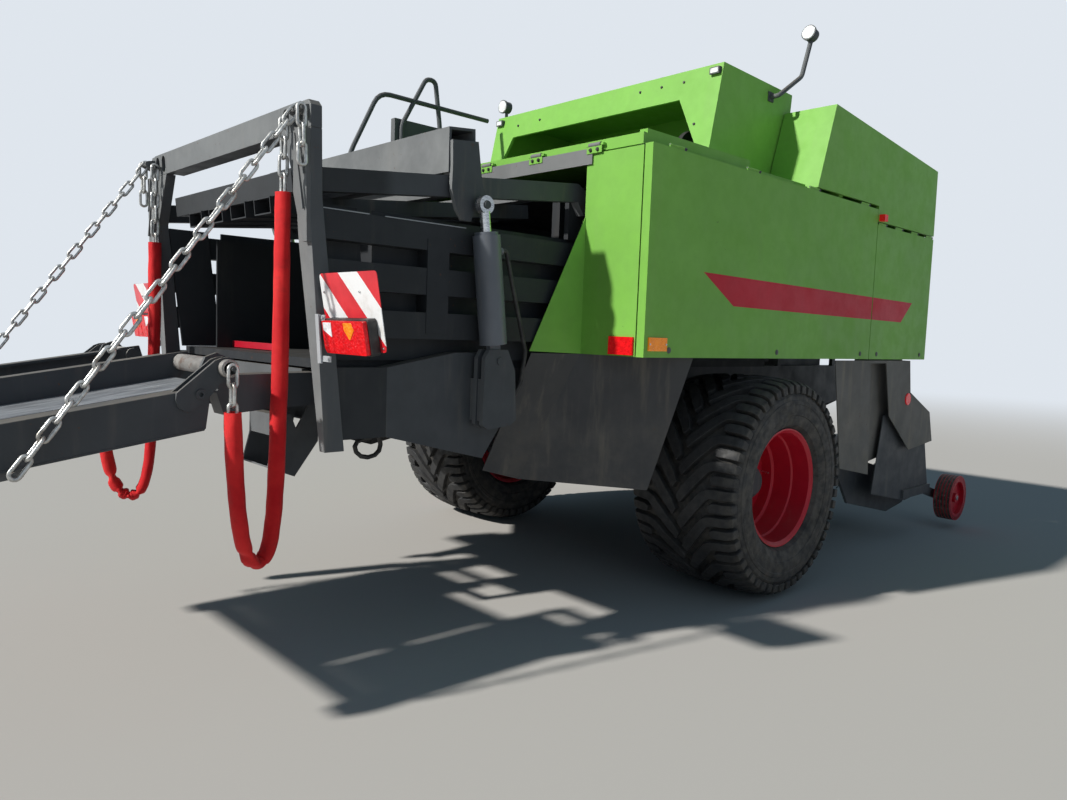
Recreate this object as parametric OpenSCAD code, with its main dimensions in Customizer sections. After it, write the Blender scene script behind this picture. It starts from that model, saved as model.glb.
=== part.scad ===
// Large square baler with folding bale chute, parked on its wheels and its drawbar stand.
// Lengths are millimetres. +X is forward, +Y is the left side, +Z is up.
// The origin is on the ground, below the middle of the axle.

/* [Reach] */
// Distance from the axle back to the tip of the bale chute
rear_reach = 4200; // [4000:10:4400]
// Distance from the axle forward to the tip of the hitch eye
hitch_reach = 4200; // [4100:10:4400]

/* [Road wheels] */
// Outer radius over the lugs of a road tyre
tyre_r = 660; // [640:5:690]
// Width of a road tyre
tyre_w = 700; // [660:10:700]
// Distance from the machine's middle plane to the middle of a road tyre
wheel_y = 1200; // [1200:5:1230]
// Radius of a rim at its flange
rim_r = 355; // [330:5:380]
// Width of a rim over its flanges
rim_w = 600; // [560:10:620]
// Radius of a wheel hub
hub_r = 105; // [90:5:120]
// Radius of the stub axle inside a hub
stub_r = 40; // [30:1:50]
// Lugs round one side of a tread
lug_n = 26; // [22:1:30]
// Depth of the grooves between the lugs
groove_depth = 40; // [25:1:45]

/* [Body panels] */
// Width over the side doors
body_w = 2800; // [2780:10:2860]
// Thickness of a door or panel with its folded edge
panel_t = 25; // [15:1:35]
// Rear end of the side doors
body_rear_x = -1250; // [-1260:5:-1240]
// Seam between the side door and the front door
door_split_x = 1240; // [1200:10:1300]
// Front end of the front doors
body_front_x = 2230; // [2200:10:2300]
// Bottom edge of the doors
door_bottom_z = 1425; // [1400:5:1450]
// Top edge of the side doors
door_top_z = 2470; // [2440:5:2480]
// Top edge of the front doors
front_door_top_z = 2365; // [2340:5:2380]

/* [Hoods] */
// Half width of the knotter hood
knotter_hood_y = 1030; // [980:10:1060]
// Top of the knotter hood
knotter_hood_z = 3180; // [3100:10:3250]
// Wall thickness of the hoods
hood_t = 20; // [12:1:30]
// Rear top edge of the front hood
front_hood_z = 3020; // [2950:10:3080]

/* [Bale chamber] */
// Width of a bale
bale_w = 1200; // [1180:10:1220]
// Top of the chamber floor
floor_z = 1380; // [1370:5:1390]
// Distance from the middle plane to the outer face of the chamber side
chamber_y = 900; // [890:5:910]
// Height of a side rib
rib_h = 120; // [90:5:140]
// Distance between side ribs
rib_pitch = 200; // [170:5:210]

/* [Rear portal] */
// Top of the rear portal
portal_z = 2415; // [2380:5:2450]
// Outer half width of the rear portal
portal_y = 920; // [915:5:930]
// Width of a portal post seen from behind
post_w = 110; // [90:5:115]
// Depth of the portal along the machine
post_d = 230; // [200:5:240]
// Lean of the portal to the rear, in degrees
portal_lean = 6.8; // [5:0.1:8]

/* [Bale chute] */
// Distance of the chute hinge behind the axle
chute_hinge_x = 3070; // [3060:5:3080]
// Height of the chute hinge
chute_hinge_z = 1347; // [1340:1:1352]
// Slope of the chute to the rear, in degrees
chute_slope = 9; // [8:0.5:10]
// Outer half width of the chute
chute_y = 800; // [790:5:805]
// Width of the chute's side beams
chute_beam_w = 110; // [80:5:130]
// Height of the chute's side beams
chute_beam_h = 160; // [140:5:170]
// Radius of the hinge pipe
hinge_pipe_r = 34; // [28:1:38]

/* [Chains] */
// Wire radius of a chain link
wire_r = 7; // [5:0.5:8]
// Pitch of a chain link
link_pitch = 73.4; // [70:0.1:80]
// Outer width of a chain link
link_w = 48; // [42:1:54]

/* [Density yoke] */
// Distance of the yoke hinge behind the axle
yoke_hinge_x = 1156; // [1150:1:1165]
// Height of the yoke hinge
yoke_hinge_z = 2200; // [2195:1:2205]
// Radius of a cylinder barrel
barrel_r = 66; // [55:1:70]
// Radius of a cylinder rod
rod_r = 25; // [20:1:30]

/* [Drawbar and stand] */
// Height of the hitch eye
hitch_z = 520; // [480:10:560]
// Bore radius of the hitch eye
eye_bore_r = 26; // [20:1:30]
// Outer radius of the hitch eye
eye_r = 75; // [65:1:85]
// Distance of the stand ahead of the axle
jack_x = 3300; // [3250:10:3350]
// Side of the stand's square leg
jack_leg = 90; // [70:5:100]

/* [Pickup] */
// Distance of the reel ahead of the axle
reel_x = 2250; // [2230:5:2270]
// Height of the reel
reel_z = 440; // [435:5:450]
// Radius over the tines
tine_tip_r = 215; // [200:5:220]
// Radius of the reel's end discs
reel_r = 120; // [110:5:130]
// Half length of the reel
reel_y = 1080; // [1000:10:1100]
// Number of tines along a tine bar
tine_n = 22; // [16:1:26]
// Radius of a gauge wheel
gauge_r = 190; // [180:5:200]
// Width of a gauge wheel
gauge_w = 130; // [110:5:135]

/* [Hidden] */

green = [0.33, 0.56, 0.22];
dark = [0.20, 0.21, 0.23];
grey = [0.45, 0.46, 0.46];
red = [0.72, 0.10, 0.12];
black = [0.08, 0.08, 0.09];
zinc = [0.66, 0.67, 0.68];

RIGHT = -1;
LEFT = 1;
pin_gap = 0.3;
body_y = body_w / 2;
bale_y = bale_w / 2;
hinge_bead_r = 6;

// An outline drawn in X and Z, extruded across the machine from y0 to y1
module across(y0, y1) { translate([0, y1, 0]) rotate([90, 0, 0]) linear_extrude(y1 - y0) children(); }
// An outline drawn in Y and Z, extruded along the machine from x0 to x1
module along(x0, x1) { translate([x0, 0, 0]) rotate([90, 0, 90]) linear_extrude(x1 - x0) children(); }
// The same thing on both sides of the machine
module both() { children(); mirror([0, 1, 0]) children(); }
// The thing as drawn on the left side, moved to the named side
module on(side) { if (side == LEFT) children(); else mirror([0, 1, 0]) children(); }
// A block given by its two corners
module block(a, b) { translate(a) cube(b - a); }
// A round bar or pipe across the machine
module bar_y(x, z, r, y0, y1) { translate([x, y0, z]) rotate([-90, 0, 0]) cylinder(r = r, h = y1 - y0, $fn = 40); }
// A round bar along the machine
module bar_x(y, z, r, x0, x1) { translate([x0, y, z]) rotate([0, 90, 0]) cylinder(r = r, h = x1 - x0, $fn = 32); }
// A round bar between two points
module rod_between(a, b, r) {
    d = b - a;
    translate(a) rotate([0, acos(d.z / norm(d)), atan2(d.y, d.x)]) cylinder(r = r, h = norm(d), $fn = 24);
}
function unit(v) = v / norm(v);
function path_dir(p, i) = unit(p[min(i + 1, len(p) - 1)] - p[max(i - 1, 0)]);
// The points of a path with each inner corner rounded over the length cut, in n steps
function rounded(p, cut, n) = [p[0],
    for (i = [1 : len(p) - 2]) let (a = p[i] + cut * unit(p[i - 1] - p[i]), b = p[i] + cut * unit(p[i + 1] - p[i]))
        for (k = [0 : n]) let (t = k / n) (1 - t) * (1 - t) * a + 2 * t * (1 - t) * p[i] + t * t * b,
    p[len(p) - 1]];
// A round tube swept along the points, as rings joined by quads
module swept_tube(p, r, sides) {
    side_dir = abs(path_dir(p, 1).y) > 0.9 ? [1, 0, 0] : [0.1, 1, 0];
    rings = [for (i = [0 : len(p) - 1]) let (d = path_dir(p, i), u = unit(cross(d, side_dir)), v = cross(d, u))
        for (k = [0 : sides - 1]) p[i] + r * cos(k * 360 / sides) * u + r * sin(k * 360 / sides) * v];
    last = (len(p) - 1) * sides;
    polyhedron(rings, concat([[for (k = [0 : sides - 1]) k]], [[for (k = [sides - 1 : -1 : 0]) last + k]],
        [for (i = [0 : len(p) - 2]) for (k = [0 : sides - 1])
            [i * sides + k, (i + 1) * sides + k, (i + 1) * sides + (k + 1) % sides, i * sides + (k + 1) % sides]]));
}
// A bent round tube through a list of corners
module tube_path(points, r, bend = 90) { swept_tube(rounded(points, bend, 4), r, 10); }
// A flat plate through a list of corners, with its thickness to one side
module flat_plate(p, t) {
    n = len(p);
    c = cross(p[1] - p[0], p[n - 1] - p[0]);
    off = c * t / norm(c);
    polyhedron([for (q = p) q, for (q = p) q + off], [[for (i = [0 : n - 1]) i], [for (i = [n - 1 : -1 : 0]) n + i],
        for (i = [0 : n - 1]) [i, n + i, n + (i + 1) % n, (i + 1) % n]]);
}
// The Y of the point at x and z in the plane through three points
function plane_y(a, b, c, x, z) = let (n = cross(b - a, c - a)) a.y - (n.x * (x - a.x) + n.z * (z - a.z)) / n.y;

// ROAD WHEELS
// Half outlines are drawn as radius and distance from the wheel's middle plane.
bead_y = rim_w / 2 - 12;
tread_half = [[tyre_r, 0], [tyre_r - 3, 130], [tyre_r - 11, 230], [tyre_r - 24, 310], [tyre_r - 44, 343],
    [tyre_r - 95, tyre_w / 2 - 1], [480, tyre_w / 2], [420, tyre_w / 2 - 8], [378, 322], [rim_r + pin_gap, bead_y], [rim_r - 15, bead_y]];

tread_inner = [[tyre_r - 62, 0], [tyre_r - 66, 200], [tyre_r - 96, 280], [tyre_r - 130, tyre_w / 2 - 36],
    [480, tyre_w / 2 - 34], [424, tyre_w / 2 - 40], [386, 292], [rim_r + 12, bead_y - 30], [rim_r - 15, bead_y - 30]];
// A ring about the wheel's axis, between an outer and an inner half outline mirrored about the middle plane
module around(outer, inner) {
    rotate([90, 0, 0]) rotate_extrude($fn = 96) polygon([
        for (q = outer) q,
        for (i = [len(inner) - 1 : -1 : 0]) inner[i],
        for (q = inner) if (q.y > 0) [q.x, -q.y],
        for (i = [len(outer) - 1 : -1 : 0]) if (outer[i].y > 0) [outer[i].x, -outer[i].y]]);
}

// One pitch of the grooves on one side, drawn at the tread's top as distance from the middle plane and along the tread:
// a slanting groove between two long lugs, and two slots that part a short shoulder block from its neighbours
arm_w = 42;
slot_w = 24;
slot_step = PI * tyre_r / lug_n;
module grooves() {
    translate([tyre_r - groove_depth, 76, 108]) rotate([50, 0, 0]) translate([0, -arm_w / 2, -160])
        cube([2 * groove_depth, arm_w, 322]);
    for (k = [0, 1]) translate([tyre_r - groove_depth - 8, 18 - k * slot_step, 176 + k * 34]) rotate([0, -14, 0])
        translate([0, -slot_w / 2, 0]) cube([2 * groove_depth, slot_w, 220]);
}
module tyre() {
    color(black) difference() {
        around(tread_half, tread_inner);
        for (k = [0 : lug_n - 1]) {
            rotate([90, k * 360 / lug_n, 0]) grooves();
            rotate([90, (k + 0.5) * 360 / lug_n, 0]) mirror([0, 0, 1]) grooves();
        }
    }
}

disc_y = -40;
disc_t = 22;
rim_wall = 9;
stud_r = 12;
// Outline of the rim wall from the outer flange to the inner flange, as radius and distance
rim_line = [[rim_r, rim_w / 2], [rim_r - 18, rim_w / 2 - 14], [rim_r - 24, 180], [rim_r - 34, 172],
    [rim_r - 42, 60], [rim_r - 60, 50], [rim_r - 60, -150], [rim_r - 24, -190], [rim_r - 18, -rim_w / 2 + 14],
    [rim_r, -rim_w / 2]];

module rim() {
    color(red) rotate([-90, 0, 0]) {
        rotate_extrude($fn = 72) polygon([
            for (q = rim_line) q,
            for (i = [len(rim_line) - 1 : -1 : 0]) [rim_line[i].x - rim_wall, rim_line[i].y]]);
        difference() {
            rotate_extrude($fn = 72) polygon([[hub_r + pin_gap, disc_y - 30], [hub_r + 60, disc_y - 30],
                [rim_r - 110, disc_y], [rim_r - 64, disc_y], [rim_r - 64, disc_y + disc_t],
                [rim_r - 112, disc_y + disc_t], [hub_r + 58, disc_y - 30 + disc_t],
                [hub_r + pin_gap, disc_y - 30 + disc_t]]);
            for (k = [0 : stud_n - 1]) rotate([0, 0, k * 360 / stud_n])
                translate([hub_r + 24, 0, disc_y - 31]) cylinder(r = stud_r + pin_gap, h = 60, $fn = 24);
        }
    }
}

stub_end_y = 60;
hub_inner_y = -170;
stud_n = 10;
module hub() {
    color(dark) rotate([-90, 0, 0]) difference() {
        union() {
            translate([0, 0, hub_inner_y]) cylinder(r = hub_r - 10, h = 90 - hub_inner_y, $fn = 48);
            translate([0, 0, disc_y - 36]) cylinder(r = hub_r, h = 60, $fn = 48);
            translate([0, 0, disc_y - 48]) cylinder(r = hub_r + 45, h = 18, $fn = 48);
            for (k = [0 : stud_n - 1]) rotate([0, 0, k * 360 / stud_n])
                translate([hub_r + 24, 0, disc_y - 31]) cylinder(r = stud_r, h = 52, $fn = 24);
            translate([0, 0, 89]) cylinder(r = hub_r - 35, h = 25, $fn = 48);
        }
        translate([0, 0, hub_inner_y - 1]) cylinder(r = stub_r + pin_gap, h = stub_end_y + 2 - hub_inner_y, $fn = 48);
    }
}

module wheel_place(side) { translate([0, side * wheel_y, tyre_r]) on(side) children(); }

// CHASSIS
frame_y = 640;
frame_t = 60;
frame_rear_x = -1680;
frame_front_x = 2420;
frame_top_z = floor_z - 42;
axle_box = 140;
axle_top_z = tyre_r + axle_box / 2;
module main_frame() {
    color(dark) {
        both() {
            across(frame_y, frame_y + frame_t) difference() {
                polygon([[frame_rear_x, frame_top_z], [frame_front_x, frame_top_z], [frame_front_x, 1060], [1900, 1010],
                    [1500, 1010], [420, 1060], [150, tyre_r - axle_box / 2], [-150, tyre_r - axle_box / 2], [-420, 1000],
                    [frame_rear_x, 1080]]);
                translate([-axle_box / 2 - pin_gap, 0]) square([axle_box + 2 * pin_gap, axle_top_z + pin_gap]);
            }
            across(frame_y - 70, frame_y + 1) polygon([[frame_rear_x, frame_top_z], [frame_front_x, frame_top_z],
                [frame_front_x, frame_top_z - 25], [frame_rear_x, frame_top_z - 25]]);
            bar_y(pickup_pivot_x, pickup_pivot_z, pickup_pivot_r, frame_y + frame_t - 1, pickup_side_y + 50);
            across(frame_y + 10, frame_y + frame_t) polygon([[1215, 730], [1268, 730], [1290, 800], [1340, 1030],
                [1000, 1060]]);
        }
        for (x = [-1640, -1140, 300, 2320]) block([x, -frame_y - 1, 1120], [x + 100, frame_y + 1, 1230]);
    }
}

module axle() {
    color(dark) {
        block([-axle_box / 2, -stub_root_y, tyre_r - axle_box / 2], [axle_box / 2, stub_root_y, tyre_r + axle_box / 2]);
        both() bar_y(0, tyre_r, stub_r, stub_root_y - 1, wheel_y + stub_end_y);
    }
}
stub_root_y = wheel_y + hub_inner_y - 8;

tongue_w = 260;
nose_w = 150;
module drawbar() {
    color(dark) difference() {
        union() {
            across(-tongue_w / 2, tongue_w / 2) polygon([[frame_front_x + pin_gap, 1240],
                [frame_front_x + pin_gap, 1020], [2700, 960], [3250, 560], [3450, 460], [3450, 600], [3330, 660],
                [2800, 1100], [2700, 1150]]);
            across(-nose_w / 2, nose_w / 2) polygon([[3430, 580], [3430, 462], [4040, hitch_z - 40], [4040, hitch_z + 40]]);
            block([frame_front_x + pin_gap, -frame_y - frame_t, 1030], [2465, frame_y + frame_t, 1300]);
            translate([hitch_reach - eye_r, 0, hitch_z - 32]) cylinder(r = eye_r, h = 64, $fn = 64);
            block([4000, -nose_w / 2 + 20, hitch_z - 32], [hitch_reach - eye_r - 20, nose_w / 2 - 20, hitch_z + 32]);
            both() flat_plate([[2464, frame_y, 1060], [2464, frame_y, 1180], [2900, tongue_w / 2 - 1, 1000],
                [2900, tongue_w / 2 - 1, 860]], 16);
        }
        translate([hitch_reach - eye_r, 0, hitch_z - 40]) cylinder(r = eye_bore_r, h = 80, $fn = 64);
    }
    color(dark) bar_y(jack_x, jack_pivot_z, 22, -tongue_w / 2 + 10, tongue_w / 2 + 20 + jack_leg + 12);
}

jack_pivot_z = 590;
jack_y = 130 + 20;
jack_foot_t = 16;
module stand() {
    color(dark) {
        difference() {
            union() {
                block([jack_x - jack_leg / 2, jack_y, jack_foot_t - 1],
                    [jack_x + jack_leg / 2, jack_y + jack_leg, jack_pivot_z + 150]);
                bar_y(jack_x, jack_pivot_z, 60, jack_y - 12, jack_y + jack_leg + 4);
            }
            bar_y(jack_x, jack_pivot_z, 22 + pin_gap, jack_y - 20, jack_y + jack_leg + 30);
        }
        block([jack_x - 130, jack_y - 70, 0], [jack_x + 130, jack_y + jack_leg + 70, jack_foot_t]);
        for (s = [-1, 1]) translate([jack_x + s * 44, jack_y + jack_leg / 2 - 5, jack_foot_t]) rotate([90, 0, 0])
            translate([0, 0, -10]) linear_extrude(10) polygon([[0, 0], [s * 70, 0], [0, 90]]);
    }
    color(red) bar_y(jack_x, jack_pivot_z + 110, 12, jack_y + jack_leg - 1, jack_y + jack_leg + 90);
}

// BALE CHAMBER
chamber_rear_x = -2540;
floor_rear_x = -2640;
chamber_front_x = 900;
wall_t = 16;
chamber_top_z = 2070;
floor_y = chamber_y - 110;
wall_y = chamber_y - 80;
floor_t = 40;
module chamber_floor() {
    color(dark) {
        block([floor_rear_x, -floor_y, floor_z - floor_t], [chamber_front_x, floor_y, floor_z]);
        for (y = [-450, 0, 450]) block([chamber_rear_x, y - 40, floor_z - 130], [-1160, y + 40, floor_z - floor_t + 1]);
    }
}

module chamber_sides() {
    color(dark) both() {
        block([chamber_rear_x, bale_y, floor_z + pin_gap], [chamber_front_x, bale_y + wall_t, chamber_top_z - 100]);
        across(wall_y - wall_t, wall_y) polygon([[post_front(floor_z) + pin_gap, floor_z + pin_gap],
            [chamber_front_x, floor_z + pin_gap], [chamber_front_x, chamber_top_z - 40],
            [post_front(floor_z) + pin_gap, chamber_top_z - 40]]);
        for (k = [0 : 2]) let (z = 1480 + k * rib_pitch)
            block([post_front(z) + pin_gap, wall_y - 1, z], [door_split_x - 400, chamber_y, z + rib_h]);
        for (x = [-2420, -1700, -900, 400])
            block([x, bale_y + wall_t - 1, floor_z + 60], [x + 40, wall_y - wall_t + 1, chamber_top_z - 110]);
        block([-2195, wall_y - 1, 1507], [-2074, chamber_y + 3, 1930]);
    }
}

hinge_shaft_r = 20;
module chamber_roof() {
    color(dark) {
        both() bar_y(-yoke_hinge_x, yoke_hinge_z, hinge_shaft_r, chamber_y - 62, chamber_y + 4);
        block([-1080, -bale_y, 2290], [chamber_front_x, bale_y, 2330]);
        both() block([-1080, bale_y - 50, 2060], [chamber_front_x, bale_y + 10, 2291]);
        both() across(chamber_y - 90, chamber_y - 60) difference() {
            polygon([[-1240, 2030.3], [-1240, 2260], [-1090, 2330], [chamber_front_x, 2330], [chamber_front_x, 2030.3]]);
            translate([-yoke_hinge_x, yoke_hinge_z]) circle(r = hinge_shaft_r - 2, $fn = 40);
        }
        both() block([-1000, bale_y, 2292], [chamber_front_x, chamber_y - 61, 2330]);
    }
}

tray_y = 151;
sill_front_x = -1700;
sill_t = 12;
module side_sills() {
    color(dark) both() {
        across(chamber_y - sill_t, chamber_y) polygon([[post_front(1050) + pin_gap, 1352], [-2020, 1420],
            [sill_front_x, 1424], [sill_front_x, 1100], [-1840, 905], [post_front(1040) + pin_gap, 1045]]);
        across(wall_y + 1.3, chamber_y - sill_t + 1) polygon([[post_front(1050) + pin_gap, 1352], [-2020, 1420],
            [sill_front_x, 1424], [sill_front_x, 1424 - sill_t], [-2020, 1420 - sill_t],
            [post_front(1050) + pin_gap, 1352 - sill_t]]);
        across(floor_y, chamber_y - sill_t + 1) polygon([[post_front(1040) + pin_gap, 1045], [-1840, 905],
            [-1840, 905 + sill_t], [post_front(1040) + pin_gap, 1045 + sill_t]]);
    }
    color(dark) for (x = [-2340, -1790]) block([x, -chamber_y + sill_t - 1, 1180],
        [x + 80, chamber_y - sill_t + 1, floor_z - 130 - pin_gap]);
    // The open bracket that hangs below the chamber, with two cheeks, a head and a sloping bottom
    color(dark) {
        both() across(tray_y - sill_t, tray_y) polygon([[-2335, 1181], [-2275, 1181], [-2318, 960], [-2318, 930],
            [-2446, 756], [-2589, 812], [-2550, 962], [-2550, 1075], [-2470, 1075], [-2440, 1000]]);
        block([-2549, -tray_y + 1, 965], [-2480, tray_y - 1, 1074]);
        across(-tray_y + 1, tray_y - 1) polygon([[-2588, 812], [-2446, 756.5], [-2442, 763], [-2586, 820]]);
    }
}

// REAR PORTAL
portal_foot_x = -2622;
portal_foot_z = 1000;
module portal_place() { translate([portal_foot_x, 0, portal_foot_z]) rotate([0, -portal_lean, 0]) children(); }
// X of the portal's front face at the height z
function post_front(z) = portal_foot_x + post_d / cos(portal_lean) - (z - portal_foot_z) * tan(portal_lean);
portal_h = (portal_z - portal_foot_z) / cos(portal_lean);
beam_h = 110;
gusset = 130;
post_wall = 14;
oval_r = 26;
oval_y = 757;
oval_step = 85;
staple_h = portal_h - 70;
chain_pin_r = 8;
staple_out = 36;
staple_x = portal_foot_x - staple_out * cos(portal_lean) - staple_h * sin(portal_lean);
staple_z = portal_foot_z - staple_out * sin(portal_lean) + staple_h * cos(portal_lean);
module rear_portal() {
    color(dark) {
        portal_place() {
            difference() {
                along(0, post_d) polygon([[-portal_y, 0], [-portal_y, portal_h - 30], [-portal_y + 30, portal_h],
                    [portal_y - 30, portal_h], [portal_y, portal_h - 30], [portal_y, 0], [portal_y - post_w, 0],
                    [portal_y - post_w, portal_h - beam_h - 2 * gusset], [portal_y - post_w - gusset, portal_h - beam_h],
                    [-portal_y + post_w + gusset, portal_h - beam_h], [-portal_y + post_w, portal_h - beam_h - 2 * gusset],
                    [-portal_y + post_w, 0]]);
                both() {
                    for (k = [-0.5, 0.5]) translate([-1, oval_y + k * oval_step, portal_h - 55]) rotate([0, 90, 0])
                        linear_extrude(post_d + 2) union() {
                            for (s = [-1, 1]) translate([s * 16, 0]) circle(r = oval_r, $fn = 32);
                            square([32, 2 * oval_r], center = true);
                        }
                    block([post_wall, portal_y - post_w + post_wall, -1],
                        [post_d - post_wall, portal_y - post_wall, portal_h - beam_h - 2 * gusset - 40]);
                }
            }
            both() {
                bar_y(-staple_out, staple_h, chain_pin_r, oval_y - 16, oval_y + 16);
                for (k = [-1, 1]) block([-staple_out, oval_y + k * 12 - 4, staple_h - 6], [1, oval_y + k * 12 + 4, staple_h + 6]);
            }
        }
        both() {
            for (k = [-1, 1]) across(eye_y + k * 30 - 5, eye_y + k * 30 + 5) polygon([[-2760, 2330], [-2775, 2395],
                [eye_x, eye_z + 17], [eye_x - 16, eye_z], [eye_x, eye_z - 17]]);
            bar_y(eye_x, eye_z, chain_pin_r, eye_y - 30, eye_y + 30);
        }
    }
}

// The fixed front part of the chute with the hinge pipes
mount_y = chute_y - chute_beam_w;
mount_w = 100;
mount_rear_x = -3030;
module chute_mounts() {
    color(dark) {
        both() {
            across(mount_y - mount_w, mount_y) polygon([[-2400, 1325], [-2870, 1315], [mount_rear_x, 1310],
                [mount_rear_x - 30, 1240], [mount_rear_x, 1150], [-2870, 1165], [-2400, 1190]]);
            across(mount_y - 20, mount_y) polygon([[-2960, 1300], [-3020, 1385], [-3060, 1402], [-3105, 1385],
                [-3122, 1347], [-3105, 1310], [-3040, 1240]]);
            block([-2600, mount_y - 1, 1200], [-2460, portal_y - post_w - pin_gap, 1310]);
            difference() {
                bar_y(-chute_hinge_x, chute_hinge_z, hinge_pipe_r, chute_in_y - 20, pipe_end_y);
                bar_y(-chute_hinge_x, chute_hinge_z, hinge_pipe_r - 8, chute_y, pipe_end_y + 1);
            }
            bar_y(-chute_hinge_x, chute_hinge_z, chain_pin_r, chute_y - 1, eye_y + 14);
        }
        block([-2640, -mount_y + mount_w - 1, 1180], [-2560, mount_y - mount_w + 1, 1330]);
    }
}

// FOLDING CHUTE
chute_in_y = 318;
pipe_end_y = chute_y + 49;
chute_len = rear_reach - chute_hinge_x;
module chute_place() {
    translate([-chute_hinge_x, 0, chute_hinge_z]) rotate([0, -chute_slope, 0]) mirror([1, 0, 0]) children();
}
// The chute's own coordinates: distance behind its hinge along the slope, and height above it
function chute_s(x, z) = (-x - chute_hinge_x) * cos(chute_slope) - (z - chute_hinge_z) * sin(chute_slope);
function chute_h(x, z) = (-x - chute_hinge_x) * sin(chute_slope) + (z - chute_hinge_z) * cos(chute_slope);
beam_top = -62;
roller_r = 48;
roller_pin_r = 14;
roller_x = -rear_reach + roller_r;
roller_z = chute_hinge_z + (roller_x + chute_hinge_x) * tan(chute_slope) - 75;
roller_s = chute_s(roller_x, roller_z);
roller_h = chute_h(roller_x, roller_z);
beam_end = roller_s + 24;
rail_end = roller_s - roller_r - 16;
module chute() {
    color(dark) chute_place() {
        both() {
            difference() {
                union() {
                    across(chute_y - chute_beam_w, chute_y) polygon([[62, beam_top], [beam_end - 30, beam_top],
                        [beam_end, beam_top - 30], [beam_end - 6, beam_top - chute_beam_h + 40],
                        [beam_end - 80, beam_top - chute_beam_h], [110, beam_top - chute_beam_h]]);
                    across(chute_y - 45, chute_y + 12) polygon([[-40, 10], [-26, 42], [24, 42], [48, 20],
                        [330, beam_top - 20], [120, -200], [70, -190], [30, -110], [-10, -60]]);
                }
                bar_y(0, 0, hinge_pipe_r + pin_gap, chute_y - 60, chute_y + 20);
                bar_y(roller_s, roller_h, roller_pin_r + pin_gap, chute_y - chute_beam_w - 1, chute_y + 1);
            }
            difference() {
                across(chute_in_y - 10, chute_in_y + 10) polygon([[-44, -20], [-36, 42], [rail_end - 30, 42],
                    [rail_end, 10], [rail_end, -150], [60, -150], [10, -60]]);
                bar_y(0, 0, hinge_pipe_r + pin_gap, chute_in_y - 11, chute_in_y + 11);
            }
            block([60, chute_in_y - 60, 30], [rail_end - 40, chute_in_y + 9, 42]);
            block([lug_s - 40, chute_y - 40, lug_h - 30], [lug_s + 40, chute_y - 20, beam_top - chute_beam_h + 1]);
            bar_y(lug_s, lug_h, chain_pin_r, chute_y - 21, eye_y - wire_r - pin_gap);
        }
        for (s = [150, rail_end / 2 + 125]) block([s, -chute_y + chute_beam_w - 1, -180],
            [s + 60, chute_y - chute_beam_w + 1, -120]);
    }
}
module chute_roller() {
    color(dark) {
        bar_y(roller_x, roller_z, roller_r, -chute_y + chute_beam_w + 1, chute_y - chute_beam_w - 1);
        bar_y(roller_x, roller_z, roller_pin_r, -chute_y + 20, chute_y - 20);
    }
}

// CHAINS
// One flat link, lying in X and Z, with its opening from 0 to the pitch along X
module link_flat() {
    inner = link_w / 2 - 2 * wire_r;
    far = link_pitch + pin_gap - inner;
    rotate([90, 0, 0]) translate([0, 0, -wire_r]) linear_extrude(2 * wire_r) difference() {
        union() {
            translate([inner, 0]) circle(r = link_w / 2, $fn = 24);
            translate([far, 0]) circle(r = link_w / 2, $fn = 24);
            translate([inner, -link_w / 2]) square([far - inner, link_w]);
        }
        translate([0, -inner]) square([link_pitch + pin_gap, 2 * inner]);
    }
}
// A straight chain of n links along X, hung on a pin at 0, each link turned by a quarter from the last
module chain_run(n) {
    translate([-chain_pin_r - pin_gap, 0, 0])
        for (k = [0 : n - 1]) translate([k * link_pitch, 0, 0]) rotate([k % 2 * 90, 0, 0]) link_flat();
}
eye_x = -2826;
eye_z = 2368;
eye_y = portal_y - 50;
chain_links = 23;
// Angle of the taut chain below the horizontal
chain_fall = 54.7;
// Distance between the pins at the two ends of a taut chain
chain_len = chain_links * link_pitch + pin_gap - 2 * (chain_pin_r + pin_gap);
lug_x = eye_x - chain_len * cos(chain_fall);
lug_z = eye_z - chain_len * sin(chain_fall);
lug_s = chute_s(lug_x, lug_z);
lug_h = chute_h(lug_x, lug_z);
module chain(side) {
    color(zinc) translate([eye_x, side * eye_y, eye_z]) rotate([0, -chain_fall, 0]) mirror([1, 0, 0])
        chain_run(chain_links);
}

// The red sleeved chain that hangs in a loop from the portal's staple to the pin in the hinge pipe's end
sleeve_r = 40;
sleeve_low = [[-2822, 758, 1500], [-2830, 760, 1150], [-2842, 764, 850], [-2858, 772, 690], [-2884, 784, 590],
    [-2930, 802, 550], [-2980, 826, 575], [-3018, 846, 660], [-3046, 860, 820], [-3062, 868, 1000],
    [-chute_hinge_x, eye_y, 1180]];
sleeve_sides = 10;
module hanging_chain(side) on(side) {
    color(red) swept_tube([[staple_x, oval_y, side == RIGHT ? 2060 : 1940], [staple_x - 2, oval_y, 1780],
        for (p = sleeve_low) p], sleeve_r, sleeve_sides);
    color(zinc) {
        translate([staple_x, oval_y, staple_z]) rotate([0, 90, 0]) chain_run(side == RIGHT ? 4 : 6);
        translate([-chute_hinge_x, eye_y, chute_hinge_z]) rotate([0, 90, 0]) chain_run(3);
    }
}

// DENSITY YOKE
// The yoke frame carries four tubes over the bale, two side rails and the cross beam that the cylinders pull down.
yoke_tilt = 6;
yoke_rear = 1590;
yoke_rail_end = 1300;
yoke_end_y = portal_y - post_w - gusset - 10;
rail_low = 30;
rail_high = 125;
cyl_top = [-1930, 0, 2108];
cyl_foot = [-1840, 0, 1385];
module yoke_place() {
    translate([-yoke_hinge_x, 0, yoke_hinge_z]) rotate([0, -yoke_tilt, 0]) mirror([1, 0, 0]) children();
}
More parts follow.
